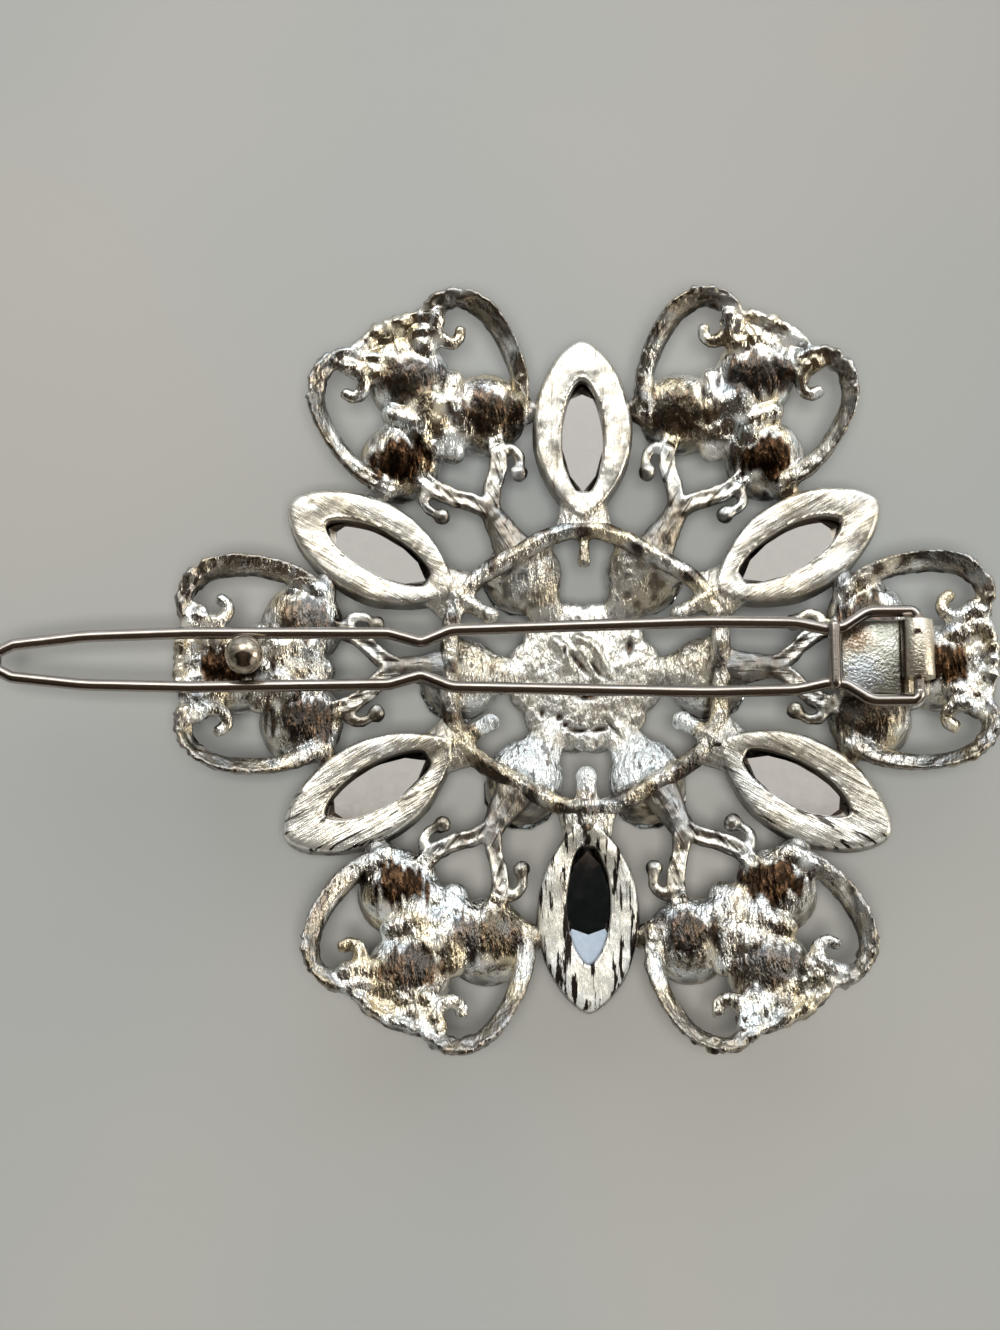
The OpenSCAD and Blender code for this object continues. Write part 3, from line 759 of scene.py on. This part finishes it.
def boat_solids():
    """The solids of the boat-shaped setting on the X axis, in the flower's frame."""
    angles = (np.arange(120) + 0.5) * 2 * np.pi / 120
    length = BOAT_OUT_R - BOAT_IN_R
    pointed = np.where(np.cos(angles) > 0, 1.32, 1.6)
    outer = oval_outline(length, BOAT_W, angles, 0.0, pointed)
    window = oval_outline(WINDOW_L - 0.3, WINDOW_W - 0.4, angles, -WINDOW_SHIFT)
    seat = boat_outline(BOAT_STONE_L + 0.2, BOAT_STONE_W + 0.16, angles)
    front, ledge = BACK_Z - BOAT_DEPTH, BACK_Z - 1.05
    # Columns: share of the way from the outer edge to the window, height
    back = [(0.0, BACK_Z - 0.5), (0.04, BACK_Z - 0.2), (0.1, BACK_Z - 0.03), (0.2, BACK_Z + 0.02),
            (0.5, BACK_Z + 0.03), (0.8, BACK_Z - 0.01), (0.86, BACK_Z - 0.05), (0.92, BACK_Z),
            (0.98, BACK_Z - 0.06), (1.0, BACK_Z - 0.2), (1.0, ledge)]
    rows = [(outer, front)] + [(outer * (1 - q) + window * q, z) for q, z in back]
    rows += [(seat, ledge), (seat, front)]
    rings = [[(row[i][0] + BOAT_MIDDLE_R, row[i][1], z) for row, z in rows] for i in range(len(angles))]
    root = flare(BOAT_IN_R + 2.0, RING_CORNER_R - 0.2, 3.2, 4.3, BACK_Z - 0.75, BACK_Z - 0.8, 1.35)
    return [skin(rings, loop=True), root]


def ring_solid():
    """The ring rod, which runs further out at the boats."""
    around = circle(240)
    radius = (RING_CORNER_R + RING_SIDE_R) / 2 - (RING_CORNER_R - RING_SIDE_R) / 2 * np.cos(PETALS * around)
    section = circle(12)
    rod = RING_ROD + 0.08
    rings = [[((r + rod * math.cos(b)) * math.cos(a), (r + rod * math.cos(b)) * math.sin(a),
               ROD_Z - 0.08 + rod * math.sin(b)) for b in section] for a, r in zip(around, radius)]
    return skin(rings, loop=True)


def spokes():
    """The inner settings with their webs to the boss, and the nubs between them."""
    inner_cup = lathe([(0.05, -INNER_DEPTH + 1.6), (INNER_CUP_R - 0.25, -INNER_DEPTH),
                       (INNER_CUP_R, -INNER_DEPTH), (INNER_CUP_R + 0.05, -INNER_DEPTH + 0.4),
                       (INNER_CUP_R + 0.12, -1.9), (INNER_CUP_R + 0.06, -1.0),
                       (INNER_CUP_R - 0.2, -0.4), (INNER_CUP_R - 0.7, 0.05), (INNER_CUP_R - 1.5, 0.3),
                       (0.05, 0.4)])
    setting = [moved(inner_cup, inner_plane()),
               flare(BOSS_R - 1.0, INNER_R + 1.5, 2.3, 6.2, 4.8, INNER_BACK_Z - 0.05, 1.3),
               lump((INNER_R + 0.6, 0, INNER_BACK_Z - 0.6), (RING_SIDE_R, 0, ROD_Z - 0.2), 1.0, 0.8)]
    tip = RING_CORNER_R - NUB_L + CURL_ROD
    solids = []
    for k, (root, neck, end) in enumerate(NUBS):
        nub = [lump((BOAT_IN_R + 0.5, 0, ROD_Z - 0.3), (RING_CORNER_R, 0, ROD_Z - 0.1), root, root * 0.9),
               lump((RING_CORNER_R, 0, ROD_Z - 0.1), (tip, 0, ROD_Z), root * 0.85, neck),
               ball((tip, 0, ROD_Z), end)]
        solids += [moved(s, turn_z(STEP * k)) for s in setting]
        solids += [moved(s, turn_z(STEP * (k + 0.5))) for s in nub]
    return solids


def boss_solids():
    """The scalloped boss of the centre stone, with the ridges and the flap of its back plate."""
    around = circle(144)
    wave = np.abs(np.sin(SCALLOPS / 2 * around)) ** 0.7
    # Columns: radius share, how deep the scallops are there, height
    rows = [(0.02, 0, BOSS_RIM_Z + 2.6), (0.75, 0, BOSS_RIM_Z + 0.9), (0.8, 0, BOSS_RIM_Z),
            (0.93, 0.2, BOSS_RIM_Z), (0.98, 0.3, BOSS_RIM_Z + 0.3), (1.02, 0.4, 3.4), (1.05, 0.5, 4.3),
            (1.05, 0.5, 4.9), (1.0, 0.35, 5.25), (0.85, 0.2, 5.4), (0.5, 0.05, 5.5), (0.25, 0.0, 5.55),
            (0.02, 0, 5.55)]
    rings = []
    for share, depth, z in rows:
        r = BOSS_R * share - depth * (1 - wave)
        rings.append(np.column_stack([r * np.cos(around), r * np.sin(around), np.full(len(around), z)]))
    solids = [skin(rings)]
    solids += [lump((x0, y0, PLATE_Z), (x1, y1, PLATE_Z), r, r * 0.8) for x0, y0, x1, y1, r in RIDGES]
    solids.append(skin([[(0.1 + r * math.cos(a), -4.6 + r * 0.8 * math.sin(a), z) for a in circle(24)]
                        for r, z in FLAP]))
    return solids


def catch_solids():
    """The post of the ball catch."""
    return [on_catch([(0.02, BACK_Z - 0.6), (1.25, BACK_Z - 0.5), (1.05, BACK_Z + 0.4),
                      (0.75, BACK_Z + 1.2), (0.6, BACK_Z + 2.2), (0.58, CATCH_Z - 0.8),
                      (0.02, CATCH_Z - 0.6)])]


def pad_solids():
    """The solder pad under the hinge's leaf."""
    low, high = BACK_Z - 0.5, WIRE_Z - BARREL_R - 0.04
    x0, x1, half = HINGE_X - LEAF_L - 0.1, HINGE_X + 0.9, LEAF_W / 2 + 0.1
    rings = []
    for z, grow in ((low, 0.25), (high - 0.25, 0.0), (high - 0.05, -0.08), (high, -0.2)):
        y0, y1 = LEAF_SHIFT - half - grow, LEAF_SHIFT + half + grow
        rings.append([(x0 - grow, y0, z), (x1 + grow, y0, z), (x1 + grow, y1, z), (x0 - grow, y1, z)])
    return [skin(rings)]


# Wear of the casting, with its painted shade and painted dark reflections

def weathered(co, no, seed, wave=0.06, grain=0.028):
    """Points of a casting with its unevenness: soft waves of 1.6 mm and grains of 0.4 and 0.8 mm."""
    soft = lattice_noise(co / 1.6, seed) * wave
    small = lattice_noise(co / 0.42, seed + 1) * grain + lattice_noise(co / 0.8, seed + 2) * grain
    return co + no * (soft + small)[:, None]


def pitted(co):
    """Sinks the pits of the centre plate; gives the points and how deep in a pit each one lies."""
    share = np.zeros(len(co))
    sunk = co.copy()
    for x, y, half_l, half_w, turn, depth in PITS:
        a = math.radians(turn)
        u = ((co[:, 0] - x) * math.cos(a) + (co[:, 1] - y) * math.sin(a)) / half_l
        v = ((co[:, 1] - y) * math.cos(a) - (co[:, 0] - x) * math.sin(a)) / half_w
        inside = np.clip(1.5 - np.hypot(u, v), 0, 1) * (co[:, 2] > PIT_LOWEST_Z)
        sunk[:, 2] -= depth * inside
        share = np.maximum(share, inside)
    return sunk, share


def side_share(no):
    """How far each surface point faces sideways instead of up, from 0 to 1."""
    return np.clip((0.55 - no[:, 2]) / 0.5, 0, 1)


def side_shade_and_specks(co, no):
    """Share of painted shade in broken patches on the sides, and of specks on the top, at each point."""
    patch = np.clip(lattice_noise(co / (0.5, 0.9, 0.9), 5) * 1.6 + 0.6, 0, 1)
    specks = np.clip(lattice_noise(co / (0.4, 0.8, 0.6), 9) - 0.5, 0, 0.5) * 1.6
    return np.clip(side_share(no) * (0.35 + 0.6 * patch) + specks, 0, 1)


def dark_dome_reflections(co, k, seed):
    """Share of the painted dark reflection on each dome of petal k, with ragged ends up and down."""
    flames = lattice_noise(co / (0.26, 1.3, 4), seed) * 0.34
    flames += lattice_noise(co / (0.7, 2.2, 4), seed + 1) * 0.2
    domes = [(OUTER_CUP_U, 0, 0), (PAIR_CUP_U, PAIR_CUP_V, 0), (PAIR_CUP_U, -PAIR_CUP_V, 0)]
    dark = np.zeros(len(co))
    for i, centre in enumerate(domes):
        x, y, _ = spin(STEP * k) @ centre
        away = np.hypot((co[:, 0] - x) / 2.5, (co[:, 1] - y + 0.15) / 1.6) + flames
        dark = np.maximum(dark, np.clip((1.0 - away) / 0.2, 0, 1) * (1 - 0.08 * ((i + k) % 3)))
    return dark


def petal_marks(local):
    """Places along a petal's arms and loops, which points those are, and the way from the loop's centre."""
    x, y, z = local[:, 0], np.abs(local[:, 1]), local[:, 2]
    far = np.hypot(x - LOOP_X, y - LOOP_Y)
    from_cups = np.minimum(np.hypot(x - PAIR_CUP_U, y - PAIR_CUP_V), np.hypot(x - OUTER_CUP_U, y))
    arm = x < PAIR_CUP_U - 2.4
    loop = (from_cups > CUP_RIM_R) & (far > 4.6) & ~arm
    round_loop = np.column_stack([np.arctan2(y - LOOP_Y, x - LOOP_X) * LOOP_R, far, z])
    from_ring = np.column_stack([np.hypot(x, y), np.arctan2(y, x) * 15, z])
    along = np.where(arm[:, None], from_ring, np.where(loop[:, None], round_loop, local))
    return along * MM, arm, loop, far


# Pieces of the casting and the catch's ball

def cast(name, mesh, co, values):
    """A piece of the casting, which stands for the CAD's flower_frame."""
    piece(name, mesh, co, METAL, "flower", "flower_frame", values)


def petals():
    """Makes the six petals; the first carries the hinge's pad and the fourth the catch's post."""
    extra = {0: pad_solids(), 3: catch_solids()}
    base = fused("petal", petal_solids())
    for k in range(PETALS):
        if k in extra:
            back = turn_z(-STEP * k)
            mesh = fused("petal", petal_solids() + [moved(s, back) for s in extra[k]])
        else:
            mesh = base.copy()
        seed = 11 * k
        local, no = points_of(mesh)
        turn = spin(STEP * k)
        co, no = local @ turn.T, no @ turn.T
        along, arm, loop, far = petal_marks(local)
        ragged = (local[:, 0] > OUTER_CUP_U + 1.9) * 0.16 + (far > LOOP_R + 0.2) * 0.06
        ragged *= lattice_noise(co / 0.45, seed + 4)
        co = weathered(co, no, seed + 3) + no * ragged[:, None]
        # Painted shade on the outer edges of the loops and the rim, added to the painted side shade and the
        # painted dark reflections of the domes
        rim = np.hypot(local[:, 0] - RIM_U, local[:, 1]) - RIM_R
        loop_edge_shade = np.clip((far - LOOP_R - 0.3) / 0.3, 0, 1) * loop
        edge = np.maximum(loop_edge_shade, np.clip((rim - 0.3) / 0.3, 0, 1)) * 0.55
        stain_and_shade = np.maximum.reduce([side_shade_and_specks(co, no), dark_dome_reflections(co, k, seed + 5), edge])
        grain, streak, matte = (np.select([arm, loop], row[:2], row[2]) for row in PETAL_FINISH)
        values = {"grain": np.clip(0.95 - co[:, 1] / 60, 0.6, 1.3) * grain,
                  "streak": streak, "stain_and_shade": stain_and_shade, "along": along, "matte": matte,
                  "frost": np.clip(lattice_noise(co / 1.1, seed + 6) * 1.4, 0, 0.6),
                  "chalk": np.clip(lattice_noise(co / 0.9, seed + 8) * 0.3 - 0.02, 0, 0.15) * (1 - stain_and_shade)}
        cast(f"casting_petal_{k + 1}", mesh, co, values)


def boats():
    """Makes the six boat-shaped settings, more scratched and less satin towards -Y."""
    base = fused("boat", boat_solids(), BOAT_VOXEL, BOAT_SMOOTHING)
    for k in range(PETALS):
        mesh = base.copy()
        local, no = points_of(mesh)
        turn = spin(STEP * (k + 0.5))
        co, no = local @ turn.T, no @ turn.T
        co = weathered(co, no, 11 * k + 91, 0.07, 0.014)
        bottom = np.clip((-co[:, 1] - 4) / 16, 0, 1)
        root = np.clip((BOAT_IN_R + 1.6 - local[:, 0]) / 1.2, 0, 1)
        # The sides are painted darker as shade, and the roots get painted side shade and specks
        values = {"grain": 0.14 + 0.1 * bottom + 0.7 * root, "streak": 0.2 + 0.5 * bottom,
                  "matte": 0.7 - 0.15 * bottom, "frost": 0.3 * bottom, "chalk": 0.04 + 0.16 * bottom ** 2,
                  "stain_and_shade": np.maximum(0.7 * side_share(no), root * side_shade_and_specks(co, no)), "along": local * MM}
        cast(f"casting_boat_{k + 1}", mesh, co, values)


def middle():
    """Makes the ring, the inner settings and the boss as one piece."""
    mesh = fused("middle", [ring_solid()] + spokes() + boss_solids(), MIDDLE_VOXEL)
    co, no = points_of(mesh)
    co, pit = pitted(weathered(co, no, 7, 0.06, 0.03))
    away = np.hypot(co[:, 0], co[:, 1])
    on_ring = np.clip((away - RING_SIDE_R + 0.9) / 0.3, 0, 1)
    boss = np.clip((BOSS_R + 0.8 - away) / 0.8, 0, 1)
    cups = np.clip((away - BOSS_R) / 0.8, 0, 1) * (1 - on_ring)
    pale = cups * np.clip(-co[:, 1] / 3, 0, 1)
    rust = cups * np.clip(co[:, 1] / 4, 0, 1) * np.clip(lattice_noise(co / 0.6, 37) + 0.1, 0, 0.6)
    tarnish = on_ring * np.clip(lattice_noise(co / (0.9, 0.7, 0.9), 31) * 1.5 + 0.35, 0, 0.85)
    # Painted shade on the sides, less on the inner cups and the boss; the pits darker the deeper a point
    # lies in them; tarnish on the ring; rust on the upper inner cups
    stain_and_shade = np.maximum.reduce([side_shade_and_specks(co, no) * (1 - 0.8 * cups - 0.5 * boss), pit, tarnish, rust])
    values = {"grain": np.clip(0.75 - co[:, 1] / 40, 0.5, 1.1) + 0.4 * on_ring + 0.5 * cups,
              "streak": np.zeros(len(co)), "stain_and_shade": stain_and_shade, "along": co * (5, 1, 2) * MM,
              "matte": 0.65 - 0.2 * cups - 0.5 * on_ring, "frost": np.maximum(0.8 * pale, 0.2 * boss),
              "chalk": (0.06 + 0.09 * pale) * (1 - stain_and_shade)}
    cast("casting_middle", mesh, co, values)


def catch_ball():
    """The polished ball of the catch."""
    solid = on_catch([(CATCH_BALL_R * math.cos(a), CATCH_Z + CATCH_BALL_R * math.sin(a))
                      for a in np.radians(np.linspace(-89, 89, 33))])
    direct("catch_ball", [solid], BALL, "flower", "flower_frame")


# The clip

def bent(rows, chord=8.0):
    """Points along rows of (x, y, bend radius), with each bend cut into short chords."""
    points = [np.array(rows[0][:2], float)]
    for before, row, after in zip(rows, rows[1:], rows[2:]):
        p = np.array(row[:2], float)
        a = p - before[:2]
        b = np.array(after[:2], float) - p
        a, b = a / np.linalg.norm(a), b / np.linalg.norm(b)
        turn = math.atan2(a[0] * b[1] - a[1] * b[0], a @ b)
        start = p - row[2] * abs(math.tan(turn / 2)) * a
        centre = start + math.copysign(row[2], turn) * np.array([-a[1], a[0]])
        arm = start - centre
        chords = max(1, math.ceil(abs(math.degrees(turn)) / chord))
        for t in np.linspace(0, turn, chords + 1):
            points.append(centre + [arm[0] * math.cos(t) - arm[1] * math.sin(t),
                                    arm[0] * math.sin(t) + arm[1] * math.cos(t)])
    points.append(np.array(rows[-1][:2], float))
    return np.array(points)


def clip():
    """The bent wire with its turned-in ends and its crossbar, which solder holds."""
    root_y = 2.5
    solder_y, solder_lift, solder_r = 1.9, 0.28, 0.46
    lower = [(x, -y, r) for x, y, r in reversed(LEG)]
    line = bent([(HINGE_X, -root_y, 0)] + lower + [(-LOOP_END_X, -0.55, 0.5), (-LOOP_END_X, 0.55, 0.5)]
                + LEG + [(HINGE_X, root_y, 0)])
    fine = [line[0]]
    for a, b in zip(line, line[1:]):
        steps = max(1, math.ceil(np.linalg.norm(b - a) / 0.6))
        fine += [a + (b - a) * t for t in np.arange(1, steps + 1) / steps]
    solids = [tube(np.column_stack([fine, np.full(len(fine), WIRE_Z)]), WIRE_R, 24)]
    for side in (1, -1):
        inner = BARREL_SHIFT + side * (BARREL_L / 2 - 1.2)
        pin = [(HINGE_X, y, WIRE_Z) for y in (inner + side * PIN_R, side * 1.9, side * (root_y + 0.2))]
        solids.append(tube(pin, PIN_R, 24))
    half = CROSSBAR_L / 2 - WIRE_R
    bar = [(CROSSBAR_X, y, WIRE_Z + CROSSBAR_LIFT) for y in np.linspace(-half, half, 9)]
    solids.append(tube(bar, WIRE_R, 24))
    solids += [ball((CROSSBAR_X, side * solder_y, WIRE_Z + solder_lift), solder_r) for side in (1, -1)]
    direct("clip_wire_bent", solids, WIRE, "clip", "clip_wire")


def strip(outline, y0, y1):
    """A solid whose outline in X and Z runs from y0 to y1."""
    return skin([[(x, y, z) for x, z in outline] for y in (y0, y1)])


def leaf():
    """The rolled strip of the hinge: a flat leaf that runs into the barrel."""
    low = WIRE_Z - BARREL_R
    turn = np.radians(np.linspace(-90, 215, 44))
    outer = [(HINGE_X + BARREL_R * math.cos(a), WIRE_Z + BARREL_R * math.sin(a)) for a in turn]
    inner = [(HINGE_X + BORE_R * math.cos(a), WIRE_Z + BORE_R * math.sin(a)) for a in reversed(turn)]
    root = [(HINGE_X - 1.0, low + LEAF_T), (HINGE_X - 1.0, low)]
    plate = [(HINGE_X - LEAF_L, low), (HINGE_X - LEAF_L, low + LEAF_T), (HINGE_X - 0.6, low + LEAF_T),
             (HINGE_X - 0.2, low)]
    solids = [strip(outer + inner + root, BARREL_SHIFT - BARREL_L / 2, BARREL_SHIFT + BARREL_L / 2),
              strip(plate, LEAF_SHIFT - LEAF_W / 2, LEAF_SHIFT + LEAF_W / 2)]
    made = direct("hinge_leaf_rolled", solids, STRIP, "flower", "hinge_leaf")
    bevel = made.modifiers.new("edges", "BEVEL")
    bevel.width = 0.06 * MM
    bevel.segments = 2
    bevel.limit_method = "ANGLE"


# The stones

def boat_stones():
    """The boat-cut stones: table and crown at the front, silvered flat and slopes at the back."""
    girdle = BACK_Z - BOAT_DEPTH + 0.15
    crown_h, girdle_h, back_h = 1.1, 0.25, 0.93
    angles = circle(12)
    table = boat_outline(BOAT_TABLE_L, BOAT_TABLE_W, angles)
    edge = boat_outline(BOAT_STONE_L, BOAT_STONE_W, angles)
    flat = np.array([(-4.3, 0.0), (-3.2, 0.85), (-1.2, 1.4), (0.8, 1.45), (2.2, 1.1), (2.7, 0.0),
                     (2.2, -1.1), (0.8, -1.45), (-1.2, -1.4), (-3.2, -0.85)])
    for k in range(PETALS):
        # The bare stone's flat is shorter, so that its outer facet shows in the window
        stretch, shift = (0.8, -0.86) if k == BARE_STONE else (1, 0)
        verts = [(x + BOAT_MIDDLE_R, y, girdle - crown_h) for x, y in table]
        verts += [(x + BOAT_MIDDLE_R, y, girdle) for x, y in edge]
        verts += [(x + BOAT_MIDDLE_R, y, girdle + girdle_h) for x, y in edge]
        verts += [(x * stretch + shift + BOAT_MIDDLE_R, y, girdle + back_h) for x, y in flat]
        mesh = hull_mesh(verts)
        co, _ = points_of(mesh)
        made = piece(f"boat_crystal_{k + 1}", mesh, co @ spin(STEP * (k + 0.5)).T, SILVERED, "flower",
                     f"stone_boat_{k + 1}")
        facets = made.data.polygons
        facets.foreach_set("use_smooth", np.zeros(len(facets), bool))
        if k == BARE_STONE:
            made.data.materials.append(BARE)
            outward = Vector((0, -1, 0))
            for facet in facets:
                outer = Vector(facet.center) @ outward > (BOAT_MIDDLE_R + 1.4) * MM
                facet.material_index = int(outer and facet.normal.z > 0.5)


def round_stones():
    """Gives the CAD's round stones their glass."""
    for name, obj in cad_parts.items():
        if name.startswith(("stone_center", "stone_inner", "stone_petal")):
            obj.data.materials.clear()
            obj.data.materials.append(CRYSTAL)


# Surroundings

def floor():
    """A smooth table with faint clouds of tone."""
    half, thick = TABLE_HALF * MM, TABLE_T * MM
    verts = [(x * half, y * half, z) for z in (0, -thick) for x, y in ((-1, -1), (1, -1), (1, 1), (-1, 1))]
    faces = [(0, 1, 2, 3), (7, 6, 5, 4), (0, 4, 5, 1), (1, 5, 6, 2), (2, 6, 7, 3), (3, 7, 4, 0)]
    mesh = mesh_of("floor", verts, faces)
    made = added("floor", mesh)
    material, main, place = shader("pale_table")
    clouds = between(noise(place, 22, 2.0, 0.4), 0.35, 0.65)
    feed(main, {"Base Color": mixed(clouds, (0.129, 0.132, 0.129, 1), (0.144, 0.138, 0.127, 1)),
                "Roughness": 0.3})
    mesh.materials.append(material)


def area(name, place, target, size, power, colour, in_reflections):
    """A soft rectangular light."""
    data = bpy.data.lights.new(name, "AREA")
    data.shape = "RECTANGLE"
    data.size, data.size_y = (s * MM for s in size)
    data.energy = power
    data.color = colour
    made = added(name, data)
    made.location = Vector(place) * MM
    made.rotation_mode = "QUATERNION"
    made.rotation_quaternion = (Vector(place) - Vector(target)).to_track_quat("Z", "Y")
    made.visible_glossy = in_reflections


def room():
    """Light of the room: bands round a dark place, brighter towards +X and +Y, and patchy low down."""
    world = bpy.data.worlds.new("room")
    world.use_nodes = True
    tree = world.node_tree
    way = node(tree, "ShaderNodeTexCoord").outputs["Generated"]
    x, y, z = node(tree, "ShaderNodeSeparateXYZ", {"Vector": way}).outputs
    behind = between(y, -0.35, -0.95)
    across = scaled(x, scaled(behind, 0.5, 1.15))
    along = maths("MAXIMUM", scaled(y, 2.3, 0.56), -0.35)
    away = maths("SQRT", scaled(across, across, scaled(along, along)))
    blur = noise(way, 3.0)
    away = maths("ADD", away, scaled(blur, 0.06, -0.03))
    ramp = node(tree, "ShaderNodeValToRGB", {"Fac": scaled(away, 0.4)})
    elements = ramp.color_ramp.elements
    while len(elements) < len(ROOM_STOPS):
        elements.new(0.5)
    for element, (at, colour) in zip(elements, ROOM_STOPS):
        element.position = at
        element.color = (*colour, 1)
    low = between(z, 0.75, 0.3)
    furniture = between(noise(way, 5.0, 2.0, 0.6), 0.5, 0.58)
    shade = scaled(scaled(low, furniture), -0.75, 1.0)
    dim = scaled(between(x, -0.85, -0.35), 0.68, 0.32)
    dim = scaled(between(x, 0.0, 0.7), 0.2, dim)
    dim = scaled(between(y, 0.3, 0.55), 0.5, dim)
    feed(tree.nodes["Background"], {"Color": ramp.outputs["Color"], "Strength": scaled(shade, dim)})
    bpy.context.scene.world = world


def camera():
    """The photograph's camera."""
    rx, ry, rz = (math.radians(a) for a in CAMERA_TILT)
    turn = Matrix.Rotation(rz, 3, "Z") @ Matrix.Rotation(ry, 3, "Y") @ Matrix.Rotation(rx, 3, "X")
    turn.transpose()
    data = bpy.data.cameras.new("camera")
    data.lens = CAMERA_LENS
    data.sensor_fit = "HORIZONTAL"
    data.sensor_width = SENSOR_WIDTH
    data.clip_start = 0.01
    data.clip_end = 10
    made = added("camera", data)
    place = turn @ Vector((-CAMERA_SHIFT[0], -CAMERA_SHIFT[1], CAMERA_DISTANCE))
    made.matrix_world = Matrix.Translation((place + Vector((0, 0, CAMERA_TARGET_Z))) * MM) @ turn.to_4x4()
    bpy.context.scene.camera = made


camera()
petals()
boats()
middle()
catch_ball()
clip()
leaf()
boat_stones()
round_stones()
floor()
room()
for light in LIGHTS:
    area(*light)
bpy.context.scene.view_settings.view_transform = "Standard"
